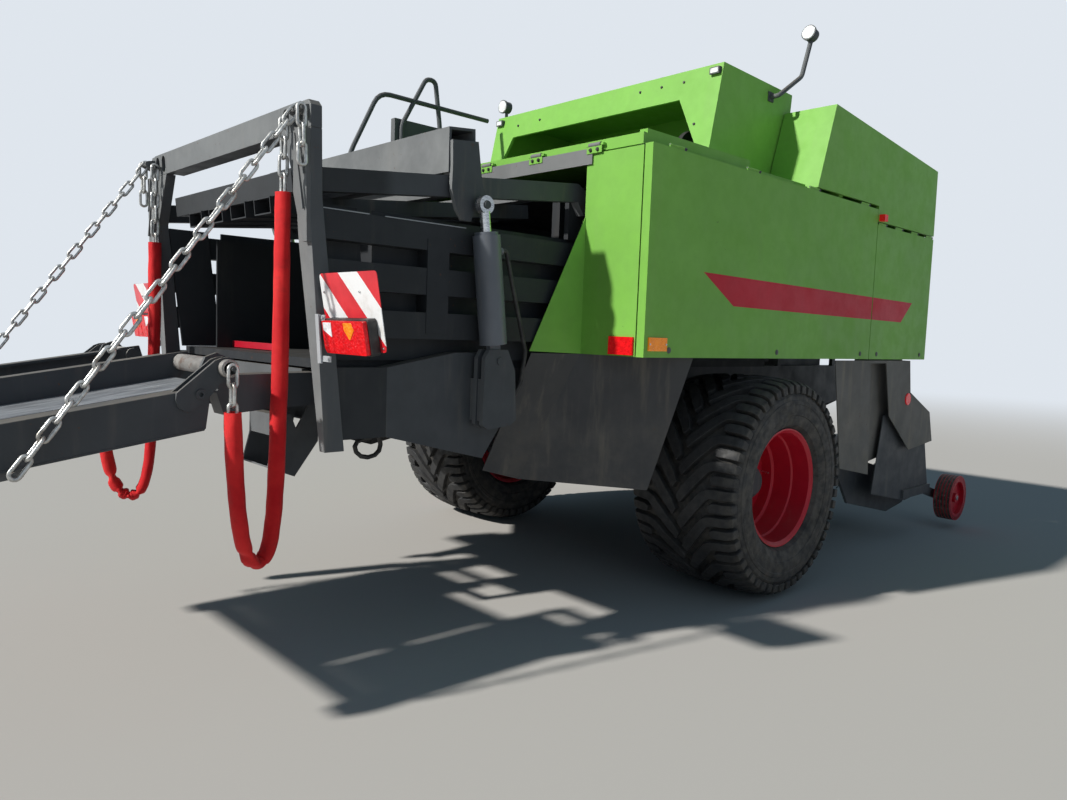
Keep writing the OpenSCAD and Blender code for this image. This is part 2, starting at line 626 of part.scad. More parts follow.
// The yoke's own coordinates: distance behind its hinge along the rails, and height above them
function yoke_s(x, z) = (-x - yoke_hinge_x) * cos(yoke_tilt) - (z - yoke_hinge_z) * sin(yoke_tilt);
function yoke_h(x, z) = (-x - yoke_hinge_x) * sin(yoke_tilt) + (z - yoke_hinge_z) * cos(yoke_tilt);
rod_eye_s = yoke_s(cyl_top.x, cyl_top.z);
rod_eye_h = yoke_h(cyl_top.x, cyl_top.z);
tube_w = 165;
tube_low = -24;
tube_high = 50;
tube_wall = 6;
beam_s = 770;
beam_d = 140;
beam_low = 139;
beam_hi = 339;
rod_pin_r = 17;
yoke_y = chamber_y - 6;
leg_y = chamber_y + 6;
module density_yoke() {
    color(dark) yoke_place() {
        for (y = [-390, -130, 130, 390]) difference() {
            block([40, y - tube_w / 2, tube_low], [yoke_rear, y + tube_w / 2, tube_high]);
            block([60, y - tube_w / 2 + tube_wall, tube_low + tube_wall],
                [yoke_rear + 1, y + tube_w / 2 - tube_wall, tube_high - tube_wall]);
        }
        both() {
            difference() {
                across(yoke_y - 52, yoke_y) polygon([[-42, -20], [-30, 60], [60, rail_high], [yoke_rail_end, rail_high],
                    [yoke_rail_end, rail_low], [70, rail_low], [30, -40], [-20, -42]]);
                bar_y(0, 0, hinge_shaft_r + pin_gap, yoke_y - 60, yoke_y + 10);
            }
            across(leg_y, leg_y + 22) difference() {
                polygon([[beam_s - 10, beam_hi - 60], [beam_s + beam_d, beam_hi - 60], [beam_s + beam_d + 8, 170],
                    [beam_s + beam_d + 22, 60], [beam_s + beam_d, -30], [beam_s + beam_d - 30, -78], [beam_s + 60, -84],
                    [beam_s + 50, -60], [beam_s - 30, -60], [beam_s - 40, 40], [beam_s - 20, 90]]);
                translate([rod_eye_s, rod_eye_h]) circle(r = rod_pin_r - 3, $fn = 32);
            }
            bar_y(rod_eye_s, rod_eye_h, rod_pin_r, leg_y + 21, cyl_y + 28);
        }
        difference() {
            across(-leg_y - 1, leg_y + 1) polygon([[beam_s, beam_low], [beam_s - 12, beam_hi], [beam_s + beam_d, beam_hi],
                [beam_s + beam_d + 20, beam_low]]);
            across(-leg_y - 2, leg_y + 2) polygon([[beam_s + 12, beam_low + 12], [beam_s, beam_hi - 12],
                [beam_s + beam_d - 12, beam_hi - 12], [beam_s + beam_d + 6, beam_low + 12]]);
        }
        for (s = [200, beam_s, yoke_rail_end - 110])
            block([s, -yoke_y + 51, tube_high - 1], [s + 100, yoke_y - 51, s == beam_s ? beam_low + 1 : rail_high - 20]);
        both() block([beam_s, yoke_y - 52, rail_high - 1], [beam_s + beam_d, yoke_y - 1, beam_low + 1]);
        block([yoke_rear - 90, -yoke_end_y, tube_high - 1], [yoke_rear - 10, yoke_end_y, tube_high + 95]);
    }
}

cyl_y = chamber_y + 70;
cyl_len = norm(cyl_top - cyl_foot);
cyl_tilt = -atan2(90, 723);
module cylinder_place(side) { translate([cyl_foot.x, side * cyl_y, cyl_foot.z]) rotate([0, cyl_tilt, 0]) children(); }
barrel_z0 = 80;
barrel_z1 = 590;
foot_pin_r = 18;
module cylinder_barrels() {
    color(grey) for (side = [RIGHT, LEFT]) cylinder_place(side) {
        difference() {
            union() {
                translate([0, 0, barrel_z0]) cylinder(r = barrel_r, h = barrel_z1 - barrel_z0, $fn = 48);
                translate([0, 0, barrel_z0 - 1]) cylinder(r = barrel_r - 14, h = 12, $fn = 48);
                translate([-32, -lug_half, -36]) cube([64, 2 * lug_half, barrel_z0 + 40]);
                translate([barrel_r - 6, 0, 515]) rotate([0, 90, 0]) cylinder(r = 17, h = 28, $fn = 32);
                translate([0, 0, barrel_z1 - 1]) cylinder(r = barrel_r - 10, h = 16, $fn = 48);
            }
            translate([0, 0, 200]) cylinder(r = rod_r + pin_gap, h = 500, $fn = 40);
            rotate([90, 0, 0]) translate([0, 0, -30]) cylinder(r = foot_pin_r, h = 60, $fn = 32);
        }
    }
}
module cylinder_rod(side) {
    color(zinc) cylinder_place(side) {
        translate([0, 0, 260]) cylinder(r = rod_r, h = cyl_len - 260 - 30, $fn = 40);
        difference() {
            translate([0, 0, cyl_len]) rotate([90, 0, 0]) translate([0, 0, -20]) cylinder(r = 42, h = 40, $fn = 48);
            translate([0, 0, cyl_len]) rotate([90, 0, 0]) translate([0, 0, -40]) cylinder(r = rod_pin_r + 3, h = 80, $fn = 40);
        }
    }
}
cheek_t = 26;
lug_half = 14;
module cylinder_brackets() {
    color(dark) both() {
        difference() {
            for (y = [cyl_y - lug_half - pin_gap - cheek_t, cyl_y + lug_half + pin_gap])
                across(y, y + cheek_t) polygon([[-1935, 1085], [-1930, 1400], [-1905, 1440], [-1790, 1440],
                    [-1740, 1340], [-1724, 1100], [-1760, 1075], [-1900, 1062]]);
            bar_y(cyl_foot.x, cyl_foot.z, foot_pin_r - 1, cyl_y - 60, cyl_y + 60);
        }
        block([-1925, chamber_y + pin_gap, 1100], [-1735, cyl_y + lug_half + 1, 1300]);
        bar_y(cyl_foot.x, cyl_foot.z, foot_pin_r - pin_gap, cyl_y - lug_half - cheek_t, cyl_y + lug_half + cheek_t + 8);
    }
}

// DOORS
rail_y = body_y - 70;
bead_y0 = body_y - 2;
// Places of the hinges along a door, as shares of its length
hinge_shares = [0.08, 0.36, 0.64, 0.92];
knuckle = 60;
module door_hinge_pin(x0, x1, z) {
    for (h = hinge_shares) let (x = x0 + h * (x1 - x0)) {
        bar_x(bead_y0 - hinge_bead_r, z, hinge_bead_r - 1.5, x - knuckle, x + knuckle + 20);
        block([x + knuckle + 4, rail_y - 6, z - 14], [x + knuckle + 20, bead_y0 - hinge_bead_r, z + 4]);
    }
}
module door(x0, x1, z0, z1, rear_flange, front_flange) {
    hinge_z = z1 + 4;
    difference() {
        union() {
            block([x0, body_y - 4, z0], [x1, body_y, z1 - 10]);
            block([x0, body_y - panel_t, z0], [x1, body_y - 1, z0 + 4]);
            block([x0, body_y - panel_t, z1 - 14], [x1, body_y - 1, z1 - 10]);
            block([x0, body_y - rear_flange, z0], [x0 + 4, body_y - 1, z1 - 10]);
            block([x1 - 4, body_y - front_flange, z0], [x1, body_y - 1, z1 - 10]);
            for (k = [1 : 3]) let (x = x0 + k * (x1 - x0) / 4)
                block([x - 20, body_y - panel_t, z0 + 3], [x + 20, body_y - 3, z1 - 13]);
            for (h = hinge_shares) let (x = x0 + h * (x1 - x0)) {
                bar_x(bead_y0 - hinge_bead_r, hinge_z, hinge_bead_r, x - knuckle, x + knuckle - 4);
                block([x - knuckle, body_y - 10, z1 - 12], [x + knuckle - 4, body_y - 5, hinge_z - 2]);
            }
        }
        bar_x(bead_y0 - hinge_bead_r, hinge_z, hinge_bead_r - 1.5 + pin_gap, x0 - 10, x1 + 10);
    }
}
module side_door(side) {
    color(green) on(side) door(body_rear_x, door_split_x - 4, door_bottom_z, door_top_z, 48, panel_t);
}
module front_door(side) {
    color(green) on(side) door(door_split_x + 4, body_front_x, door_bottom_z, front_door_top_z, panel_t, panel_t);
}
rail_w = 40;
rail_rear_x = body_rear_x + 18 + pin_gap;
tie_x = [-1200, -950, -250, 250, 800];
module door_rails() {
    color(dark) both() {
        block([rail_rear_x, rail_y - rail_w, door_top_z - 60], [1600, rail_y, door_top_z - 6]);
        door_hinge_pin(body_rear_x, door_split_x - 4, door_top_z + 4);
        block([door_split_x + 14, rail_y - rail_w, front_door_top_z - 60], [body_front_x - 20, rail_y, front_door_top_z - 4]);
        door_hinge_pin(door_split_x + 4, body_front_x, front_door_top_z + 4);
        for (x = [rail_rear_x, -30, door_split_x + 20, body_front_x - 90])
            block([x, rail_y - rail_w, door_bottom_z + 20], [x + 50, rail_y, front_door_top_z - 50]);
        for (x = [rail_rear_x, -30])
            block([x, rail_y - rail_w, front_door_top_z - 60], [x + 50, rail_y, door_top_z - 50]);
        block([rail_rear_x, rail_y - rail_w, door_bottom_z], [body_front_x - 30, rail_y, door_bottom_z + 40]);
        for (x = tie_x) block([x, wall_y + pin_gap, door_bottom_z], [x + 50, rail_y - rail_w + 1, door_bottom_z + 40]);
        for (x = [door_split_x + 20, body_front_x - 90]) {
            block([x, frame_y + 20, door_bottom_z], [x + 50, rail_y - rail_w + 1, door_bottom_z + 40]);
            block([x, frame_y + 20, frame_top_z + pin_gap], [x + 50, frame_y + 50, door_bottom_z + 1]);
        }
    }
}

// PANELS AND SKIRTS
module rear_panels() {
    color(green) both() {
        block([body_rear_x, 970, door_bottom_z], [body_rear_x + 18, body_y - 56, door_top_z - 15]);
        flat_plate([[body_rear_x + 2, 972, door_bottom_z], [-1556, 905, door_bottom_z + 8], [body_rear_x + 2, 972, 2141]], 5);
    }
}
skirt_t = 6;
skirt_top_z = door_bottom_z - pin_gap;
skirt_a = [-810, body_y - 20, skirt_top_z];
skirt_b = [body_rear_x, 970, skirt_top_z];
skirt_c = [-930, body_y - 190, 700];
skirt_d = [-1442, plane_y(skirt_a, skirt_b, skirt_c, -1442, 738), 738];
skirt_e = [-1541, 904, skirt_top_z];
skirt_f = [-1669, plane_y(skirt_b, skirt_d, skirt_e, -1669, 801), 801];
module rear_skirts() {
    color(dark) both() {
        flat_plate([skirt_a, skirt_c, skirt_d, skirt_b], skirt_t);
        flat_plate([skirt_b, skirt_d, skirt_f, skirt_e], skirt_t);
    }
}
module front_skirts() {
    color(grey) both() {
        across(body_y - 16, body_y - 10) polygon([[773, 1415], [937, 674], [1384, 591], [1300, 1415]]);
        across(body_y - 16, body_y - 10) polygon([[1560, 1415], [1680, 1000], [2080, 720], [2540, 760], [2450, 1000],
            [2040, 1170], [1990, 1415]]);
        across(body_y - 100, body_y - 94) polygon([[1300, 1415], [1384, 640], [2080, 720], [1990, 1415]]);
        block([1240, body_y - 99, 1395], [1990, body_y - 11, 1415]);
        block([1240, body_y - 99, 1400], [1990, rail_y, skirt_top_z]);
    }
}
hood_gap = 8;
hood_low_rear_z = door_top_z + hood_gap + 6;
hood_low_front_z = front_door_top_z + hood_gap + 6;
module front_hood() {
    top = front_hood_z;
    color(green) difference() {
        across(-body_y, body_y) polygon([[370, hood_low_rear_z], [546, top], [body_front_x - 10, top - 150],
            [body_front_x, hood_low_front_z], [door_split_x, hood_low_front_z], [door_split_x, hood_low_rear_z]]);
        across(-body_y + hood_t, body_y - hood_t) polygon([[370 + hood_t + 12, 2300], [370 + hood_t + 12, door_top_z + 20],
            [546 + hood_t, top - hood_t], [body_front_x - 10 - hood_t, top - 150 - hood_t], [body_front_x - hood_t, 2300]]);
        block([300, -knotter_hood_y - hood_gap, 2300], [hood_front_x + hood_gap, knotter_hood_y + hood_gap, knotter_hood_z]);
    }
    color(green) both() for (x = [700, 1500]) along(x, x + 50) polygon([[rail_y - 30, door_top_z - 6 + pin_gap],
        [rail_y + 30, door_top_z - 6 + pin_gap], [body_y - hood_t + 1, door_top_z + 20], [body_y - hood_t + 1, door_top_z + 60],
        [rail_y - 30, door_top_z + 60]]);
}
hood_front_x = 640;
hood_rear_top_x = -160;
hood_rear_low_x = -280;
hood_low_z = 2620;
hood_band_z = 3000;
module knotter_hood() {
    color(green) difference() {
        across(-knotter_hood_y, knotter_hood_y) polygon([[hood_rear_low_x, hood_low_z], [hood_rear_top_x, knotter_hood_z],
            [hood_front_x, knotter_hood_z - 20], [588, hood_low_z], [480, deck_top_z + pin_gap],
            [hood_rear_low_x + 30, deck_top_z + pin_gap]]);
        across(-knotter_hood_y + hood_t, knotter_hood_y - hood_t) polygon([
            [hood_rear_low_x + hood_t + 10, hood_low_z - 200], [hood_rear_low_x + hood_t, hood_low_z],
            [hood_rear_top_x + hood_t, knotter_hood_z - hood_t], [hood_front_x - hood_t, knotter_hood_z - 20 - hood_t],
            [588 - hood_t, hood_low_z], [470 - hood_t, hood_low_z - 200]]);
        along(hood_rear_low_x - 40, hood_rear_top_x + 10) polygon([[-740, hood_band_z], [-855, 2803], [-950, 2641],
            [-950, 2480], [950, 2480], [950, 2641], [870, 2869], [812, hood_band_z]]);
    }
}
module knotter_shaft() {
    color(dark) {
        bar_y(60, 2700, 38, -840, 840);
        for (k = [0 : 5]) translate([60, -650 + k * 260, 2700]) rotate([90, 0, 0]) {
            cylinder(r = 170, h = 36, $fn = 40);
            translate([0, 0, -30]) cylinder(r = 90, h = 100, $fn = 32);
        }
        both() across(760, 790) polygon([[-80, deck_top_z + pin_gap], [-20, 2760], [140, 2760], [220, deck_top_z + pin_gap]]);
    }
}
deck_z = 2475;
deck_top_z = deck_z + 30;
deck_lip_z = deck_z + 45;
deck_y = rail_y - 10;
module deck() {
    color(green) {
        block([-1200, -deck_y, deck_z], [360, deck_y, deck_top_z]);
        block([-1240, -rail_y, door_top_z - 6 + pin_gap], [-1199, rail_y, deck_lip_z]);
        both() block([-1199, deck_y - 50, deck_top_z - 1], [hood_rear_low_x, deck_y, deck_z + 70]);
    }
}
flap_x = -1256;
flap_z = deck_z + 20;
flap_y = 1100;
// Places of the flap's hinges across the machine
flap_hinge_y = [-1027, -591, -167, 167, 591, 1027];
module rear_flap() {
    color(grey) {
        block([flap_x - 4, -flap_y, flap_z - 95], [flap_x, flap_y, flap_z - 14]);
        for (y = flap_hinge_y) difference() {
            union() {
                bar_y(flap_x, flap_z, 12, y - 40, y + 40);
                block([flap_x - 5, y - 40, flap_z - 20], [flap_x - 1, y + 40, flap_z - 2]);
            }
            bar_y(flap_x, flap_z, 6 + pin_gap, y - 50, y + 50);
        }
    }
}
module flap_hinges() {
    color(green) for (y = flap_hinge_y) {
        bar_y(flap_x, flap_z, 6, y - 60, y + 60);
        for (s = [-1, 1]) block([flap_x - 6, y + s * 52 - 8, flap_z - 6], [-1239, y + s * 52 + 8, flap_z + 6]);
    }
}

railing_r = 17;
railing_y = knotter_hood_y - 30;
module railing() {
    color(dark) {
        tube_path([[-1500, railing_y, 2560], [-1500, railing_y, 2660], [-1270, railing_y, 3130], [-300, railing_y, 3130]],
            railing_r);
        tube_path([[-1080, railing_y, deck_top_z + pin_gap], [-1080, railing_y, 2950], [-880, railing_y, 3310],
            [-800, railing_y, 3310], [-750, railing_y, 2990], [-750, railing_y, deck_top_z + pin_gap]], railing_r, 38);
        tube_path([[-1500, railing_y, 2561], [-1485, railing_y, 2538], [-1224, railing_y, 2538]], railing_r, 12);
        block([-1237, railing_y - 25, deck_lip_z + pin_gap], [-1221, railing_y + 25, deck_lip_z + 18]);
    }
    color(green) block([-1130, railing_y + 12, 2800], [-690, railing_y + 60, 2990]);
}

module work_lamp() {
    cylinder(r = 44, h = 50, $fn = 40);
    translate([0, 0, 50]) cylinder(r = 50, h = 14, $fn = 40);
}
// X of the knotter hood's rear face at the height z
function hood_rear_x(z) = hood_rear_low_x + (z - hood_low_z) * (hood_rear_top_x - hood_rear_low_x) / (knotter_hood_z - hood_low_z);
arm_z = knotter_hood_z - 90;
arm_y = knotter_hood_y + 60;
// Height of the small lamps on the hood's band
band_lamp_z = knotter_hood_z - 47;
module work_lamps() {
    color(dark) {
        block([340, -knotter_hood_y - 8, arm_z - 30], [400, -knotter_hood_y - pin_gap, arm_z + 30]);
        tube_path([[370, -knotter_hood_y - 6, arm_z], [370, -arm_y, arm_z], [640, -arm_y, arm_z + 180],
            [730, -arm_y, arm_z + 430]], 15, 25);
        translate([735, -arm_y, arm_z + 470]) rotate([0, -80, 0]) translate([0, 0, -20]) work_lamp();
        translate([-110, knotter_hood_y - 30, knotter_hood_z - 0.6]) cylinder(r = 12, h = 60, $fn = 20);
        translate([-90, knotter_hood_y - 30, knotter_hood_z + 90]) rotate([0, -90, 0]) work_lamp();
        for (s = [-1, 1]) across(s * (knotter_hood_y - 45) - 34, s * (knotter_hood_y - 45) + 34)
            polygon([[hood_rear_x(band_lamp_z - 20) - pin_gap, band_lamp_z - 20],
                [hood_rear_x(band_lamp_z + 20) - pin_gap, band_lamp_z + 20],
                [hood_rear_x(band_lamp_z) - 26, band_lamp_z + 18], [hood_rear_x(band_lamp_z) - 26, band_lamp_z - 22]]);
    }
}
module marker_lamps() {
    color("orange") both() bar_y(1990, 1120, 45, body_y - 9.7, body_y - 2);
    color(red) both() {
        block([body_rear_x - 12, body_y - 223, 1432], [body_rear_x - pin_gap, body_y - 65, 1523]);
        block([1255, body_y + pin_gap, 2381], [1305, body_y + 40, 2426]);
    }
}
module reflector(side) {
    color("orange") on(side) block([-1220, body_y + pin_gap, 1457], [-1075, body_y + 8, 1524]);
}

board_x = -2722;
board_in_y = portal_y + 14;
board_out_y = board_in_y + 423;
board_corner = 18;
module warning_boards() {
    color("white") both() along(board_x, board_x + 4) polygon([[board_in_y + board_corner, 1430],
        [board_out_y - board_corner, 1430], [board_out_y, 1430 + board_corner], [board_out_y, 1735 - board_corner],
        [board_out_y - board_corner, 1735], [board_in_y + board_corner, 1735], [board_in_y, 1735 - board_corner],
        [board_in_y, 1430 + board_corner]]);
    color(red) both() {
        block([board_x - 40, board_in_y + 61, 1420], [board_x + 1, board_in_y + 386, 1560]);
        along(board_x - 58, board_x - 39) polygon([[board_in_y + 70, 1426], [board_in_y + 377, 1426],
            [board_in_y + 377, 1536], [board_in_y + 359, 1554], [board_in_y + 88, 1554], [board_in_y + 70, 1536]]);
    }
    color(dark) both() for (z = [1455, 1640]) {
        block([board_x + 3, portal_y + pin_gap, z], [board_x + 20, board_in_y + 316, z + 40]);
        block([board_x + 3, portal_y + pin_gap, z], [-2600, portal_y + 6, z + 40]);
    }
}
rack_z = door_bottom_z + 40 + pin_gap;
rack_x = -1150;
rack_len = 1080;
shelf_h = 300;
shelf_t = 8;
rack_in_y = chamber_y + 60;
rack_out_y = rail_y - rail_w - 10;
module twine_racks() {
    color(grey) both() {
        for (k = [0 : 3]) let (z = rack_z + k * shelf_h)
            block([rack_x, rack_in_y, z], [rack_x + rack_len, rack_out_y, z + shelf_t]);
        block([rack_x, rack_in_y, rack_z], [rack_x + rack_len, rack_in_y + shelf_t, rack_z + 3 * shelf_h + 1]);
        for (x = [rack_x, rack_x + rack_len - shelf_t])
            block([x, rack_in_y, rack_z], [x + shelf_t, rack_out_y, rack_z + 3 * shelf_h + 1]);
    }
}
module gearbox() {
    color(dark) {
        block([1500, -380, 1500], [2150, 380, 2240]);
        block([900, -500, 1460], [1501, 500, 2100]);
        bar_x(0, flywheel_z, flywheel_shaft_r, 2149, flywheel_x + 6.7);
        for (y = [-600, 540]) block([1450, y, frame_top_z + pin_gap], [2100, y + 60, 1500]);
        block([1450, -600, 1440], [2100, 600, 1500.5]);
    }
}
flywheel_x = 2290;
flywheel_z = 1700;
flywheel_shaft_r = 70;
module flywheel() {
    color(dark) translate([flywheel_x, 0, flywheel_z]) rotate([0, 90, 0]) {
        difference() {
            cylinder(r = 420, h = 110, $fn = 72);
            translate([0, 0, 40]) difference() {
                cylinder(r = 350, h = 90, $fn = 72);
                translate([0, 0, -1]) cylinder(r = 110, h = 92, $fn = 40);
            }
            translate([0, 0, -1]) cylinder(r = flywheel_shaft_r + pin_gap, h = 8, $fn = 40);
        }
        translate([0, 0, 109]) cylinder(r = 60, h = 120, $fn = 40);
        translate([0, 0, 228]) cylinder(r = 22, h = 90, $fn = 40);
    }
}

// PICKUP
pickup_pivot_x = 1250;
pickup_pivot_z = 760;
pickup_pivot_r = 25;
// The pickup's side plates stand outside the reel, and its shields hang between the skirts' two plates
pickup_side_y = reel_y + 100;
reel_shaft_r = 20;
shield_y = body_y - 52;
module pickup_frame() {
    color(dark) {
        both() {
            difference() {
                across(pickup_side_y, pickup_side_y + 20) polygon([[1200, 700], [1210, 820], [1300, 820], [1700, 640],
                    [2620, 420], [2640, 330], [2510, 220], [2200, 180], [1500, 330]]);
                bar_y(pickup_pivot_x, pickup_pivot_z, pickup_pivot_r + pin_gap, reel_y, body_y - 100);
                bar_y(reel_x, reel_z, reel_shaft_r + pin_gap, reel_y, body_y - 100);
            }
            block([2110, pickup_side_y + 19, 320], [2640, body_y - 34, 390]);
            across(shield_y - 6, shield_y) polygon([[1683, 1000], [1760, 1010], [2500, 780], [2640, 340], [2180, 300],
                [1560, 420]]);
            bar_y(gauge_x, gauge_z, gauge_axle_r, body_y - 100, body_y + 90);
            across(body_y - 100, body_y - 70) polygon([[2560, 390], [2560, 320], [gauge_x - 20, gauge_z - 30],
                [gauge_x + 30, gauge_z - 20], [gauge_x + 30, gauge_z + 30]]);
        }
        across(-pickup_side_y - 1, pickup_side_y + 1) polygon([[1290, 700], [1320, 740], [1760, 560], [1750, 540],
            [1330, 715]]);
        bar_y(2560, 390, 24, -pickup_side_y - 1, pickup_side_y + 1);
        // The crop roller on its two arms, with the rods that hold the crop down over the reel
        both() across(pickup_side_y - 15, pickup_side_y + 1) polygon([[1980, 560], [2010, 505], [2580, 570], [2590, 600],
            [2575, 635], [2540, 635]]);
        bar_y(2560, 600, crop_roller_r, -pickup_side_y + 14, pickup_side_y - 14);
        for (k = [0 : crop_rod_n - 1]) let (y = -reel_y + 60 + k * (2 * reel_y - 120) / (crop_rod_n - 1))
            rod_between([2550, y, 636], [2140, y, 705], 7);
    }
}
crop_roller_r = 45;
crop_rod_n = 12;
gauge_axle_r = 14;
gauge_x = 2930;
gauge_z = 256;
gauge_y = body_y + 30;
module pickup_reel() {
    color(dark) {
        bar_y(reel_x, reel_z, reel_shaft_r, -pickup_side_y - 50, pickup_side_y + 50);
        for (y = [-reel_y, -reel_y / 2, 0, reel_y / 2, reel_y]) bar_y(reel_x, reel_z, reel_r, y - 5, y + 5);
        for (a = [45 : 90 : 315]) let (x = reel_x + (reel_r - 22) * cos(a), z = reel_z + (reel_r - 22) * sin(a)) {
            bar_y(x, z, 14, -reel_y - 4, reel_y + 4);
            for (k = [0 : tine_n - 1]) let (y = -reel_y + 50 + k * (2 * reel_y - 100) / (tine_n - 1))
                rod_between([x, y, z], [reel_x + tine_tip_r * cos(a - 12), y, reel_z + tine_tip_r * sin(a - 12)], 4);
        }
    }
}
module gauge_wheel(side) {
    color(red) translate([gauge_x, side * gauge_y, gauge_z]) rotate([90, 0, 0]) difference() {
        union() {
            translate([0, 0, -gauge_w / 2]) difference() {
                cylinder(r = gauge_r, h = gauge_w, $fn = 64);
                for (z = [-1, gauge_w - 34]) translate([0, 0, z]) cylinder(r = gauge_r - 52, h = 35, $fn = 64);
            }
            translate([0, 0, -gauge_w / 2 + 10]) cylinder(r = 40, h = gauge_w - 20, $fn = 40);
        }
        translate([0, 0, -gauge_w]) cylinder(r = gauge_axle_r + pin_gap, h = 2 * gauge_w, $fn = 32);
    }
}
hose_r = 11;
module hoses() {
    color(black) both() tube_path([[-1815.9, cyl_y, 1907], [-1786, cyl_y, 1911], [-1740, cyl_y, 1750],
        [-1680, cyl_y, 1560], [-1640, cyl_y, 1430], [-1655, cyl_y - 10, 1280], [-1685, cyl_y - 28, 1205],
        [-1729.9, cyl_y - 28, 1205]], hose_r, 14);
    // The hose that loops below the rear cross beam on the right
    color(black) on(RIGHT) swept_tube([[-2306, 690, 1179.7], [-2306, 690, 1090], [-2294, 691, 1015], [-2289, 693, 978],
        [-2298, 696, 950], [-2322, 698, 931], [-2360, 700, 924], [-2398, 701, 932], [-2424, 702, 954], [-2432, 703, 980],
        [-2420, 704, 1002], [-2390, 707, 1012], [-2352, 712, 1016], [-2330, 717, 1040], [-2325, 720, 1100],
        [-2325, 720, 1179.7]], hose_r, 10);
}

main_frame();
axle();
drawbar();
stand();
chamber_floor();
chamber_sides();
chamber_roof();
side_sills();
rear_portal();
chute_mounts();
chute();
chute_roller();
chain(RIGHT);  // chain_right
chain(LEFT);  // chain_left
hanging_chain(RIGHT);  // hanging_chain_right
hanging_chain(LEFT);  // hanging_chain_left
density_yoke();
cylinder_barrels();
cylinder_rod(RIGHT);  // cylinder_rod_right
cylinder_rod(LEFT);  // cylinder_rod_left
cylinder_brackets();
side_door(RIGHT);  // side_door_right
side_door(LEFT);  // side_door_left
front_door(RIGHT);  // front_door_right
front_door(LEFT);  // front_door_left
door_rails();
rear_panels();
rear_skirts();
front_skirts();
front_hood();
knotter_hood();
knotter_shaft();
union() { deck(); flap_hinges(); }
rear_flap();
railing();
work_lamps();
marker_lamps();
reflector(RIGHT);  // reflector_right
reflector(LEFT);  // reflector_left
warning_boards();
twine_racks();
gearbox();
flywheel();
pickup_frame();
pickup_reel();
gauge_wheel(RIGHT);  // gauge_wheel_right
gauge_wheel(LEFT);  // gauge_wheel_left
hoses();
wheel_place(RIGHT) rim();  // rim_right
wheel_place(LEFT) rim();  // rim_left
wheel_place(RIGHT) hub();  // hub_right
wheel_place(LEFT) hub();  // hub_left
wheel_place(RIGHT) tyre();  // tyre_right
wheel_place(LEFT) tyre();  // tyre_left
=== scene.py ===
"""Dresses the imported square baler: finishes, chains, tyres, portal, chute, boards and small fittings.

Lengths are metres in the frame of the CAD part: +X forward, +Y to the left, +Z up, ground at Z 0.
"""

import math

import bmesh
import bpy
from mathutils import Matrix, Vector, noise


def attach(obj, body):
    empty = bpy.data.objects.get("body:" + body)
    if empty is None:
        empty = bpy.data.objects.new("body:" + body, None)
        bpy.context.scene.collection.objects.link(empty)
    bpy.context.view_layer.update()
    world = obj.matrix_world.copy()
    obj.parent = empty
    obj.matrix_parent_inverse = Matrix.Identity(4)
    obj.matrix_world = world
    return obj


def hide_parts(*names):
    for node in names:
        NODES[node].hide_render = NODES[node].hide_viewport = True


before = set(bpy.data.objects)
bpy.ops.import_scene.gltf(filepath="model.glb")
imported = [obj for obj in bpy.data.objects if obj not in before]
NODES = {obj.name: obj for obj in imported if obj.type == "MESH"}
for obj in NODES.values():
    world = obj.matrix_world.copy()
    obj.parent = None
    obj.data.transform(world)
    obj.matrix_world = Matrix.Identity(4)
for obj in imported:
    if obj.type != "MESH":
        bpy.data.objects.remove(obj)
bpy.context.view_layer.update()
RIGHT, LEFT = -1, 1
SIDES = {RIGHT: "right", LEFT: "left"}


# Camera, floor and light

CAMERA_PLACE = Vector((-4.351, -3.905, 1.531))
CAMERA_YAW = math.radians(46.566)
CAMERA_PITCH = math.radians(-4.835)
CAMERA_ROLL = math.radians(2.087)
SENSOR_MM = 36
IMAGE_W = 1067
FOCAL_PX = 805.5
FAR_CLIP = 300


def show(made):
    bpy.context.scene.collection.objects.link(made)


def make_camera():
    """The camera stands where the photograph was taken."""
    ahead = Vector((math.cos(CAMERA_YAW) * math.cos(CAMERA_PITCH),
                    math.sin(CAMERA_YAW) * math.cos(CAMERA_PITCH), math.sin(CAMERA_PITCH)))
    level = Vector((math.sin(CAMERA_YAW), -math.cos(CAMERA_YAW), 0))
    upright = level.cross(ahead)
    right = math.cos(CAMERA_ROLL) * level + math.sin(CAMERA_ROLL) * upright
    up = -math.sin(CAMERA_ROLL) * level + math.cos(CAMERA_ROLL) * upright
    data = bpy.data.cameras.new("camera")
    data.sensor_width = SENSOR_MM
    data.lens = SENSOR_MM * FOCAL_PX / IMAGE_W
    data.clip_end = FAR_CLIP
    camera = bpy.data.objects.new("camera", data)
    turned = Matrix((right, up, -ahead)).transposed().to_4x4()
    turned.translation = CAMERA_PLACE
    camera.matrix_world = turned
    show(camera)
    bpy.context.scene.camera = camera


BACKGROUND = (0.74, 0.79, 0.85, 1)
FLOOR_COLOUR = (0.54, 0.52, 0.49, 1)
SKY_TINT = (0.48, 0.74, 1.0, 1)
SKY_STRENGTH = 0.17
GLOSS_SHARE = 0.45
FLOOR_R = 120
FLOOR_FADE = (7, 26)
KEY_FROM = Vector((-0.79, 0.24, 0.575))
KEY_STRENGTH = 4.2
KEY_ANGLE = 2
KEY_TINT = (1.0, 0.975, 0.93)
FILL_FROM = Vector((-0.35, -0.85, 0.40))
FILL_STRENGTH = 0.12
FILL_ANGLE = 40
FILL_TINT = (0.70, 0.86, 1.0)


def make_sun(name, place, strength, angle, tint):
    data = bpy.data.lights.new(name, "SUN")
    data.energy = strength
    data.angle = math.radians(angle)
    data.color = tint
    lamp = bpy.data.objects.new(name, data)
    lamp.rotation_mode = "QUATERNION"
    lamp.rotation_quaternion = place.to_track_quat("Z", "Y")
    show(lamp)


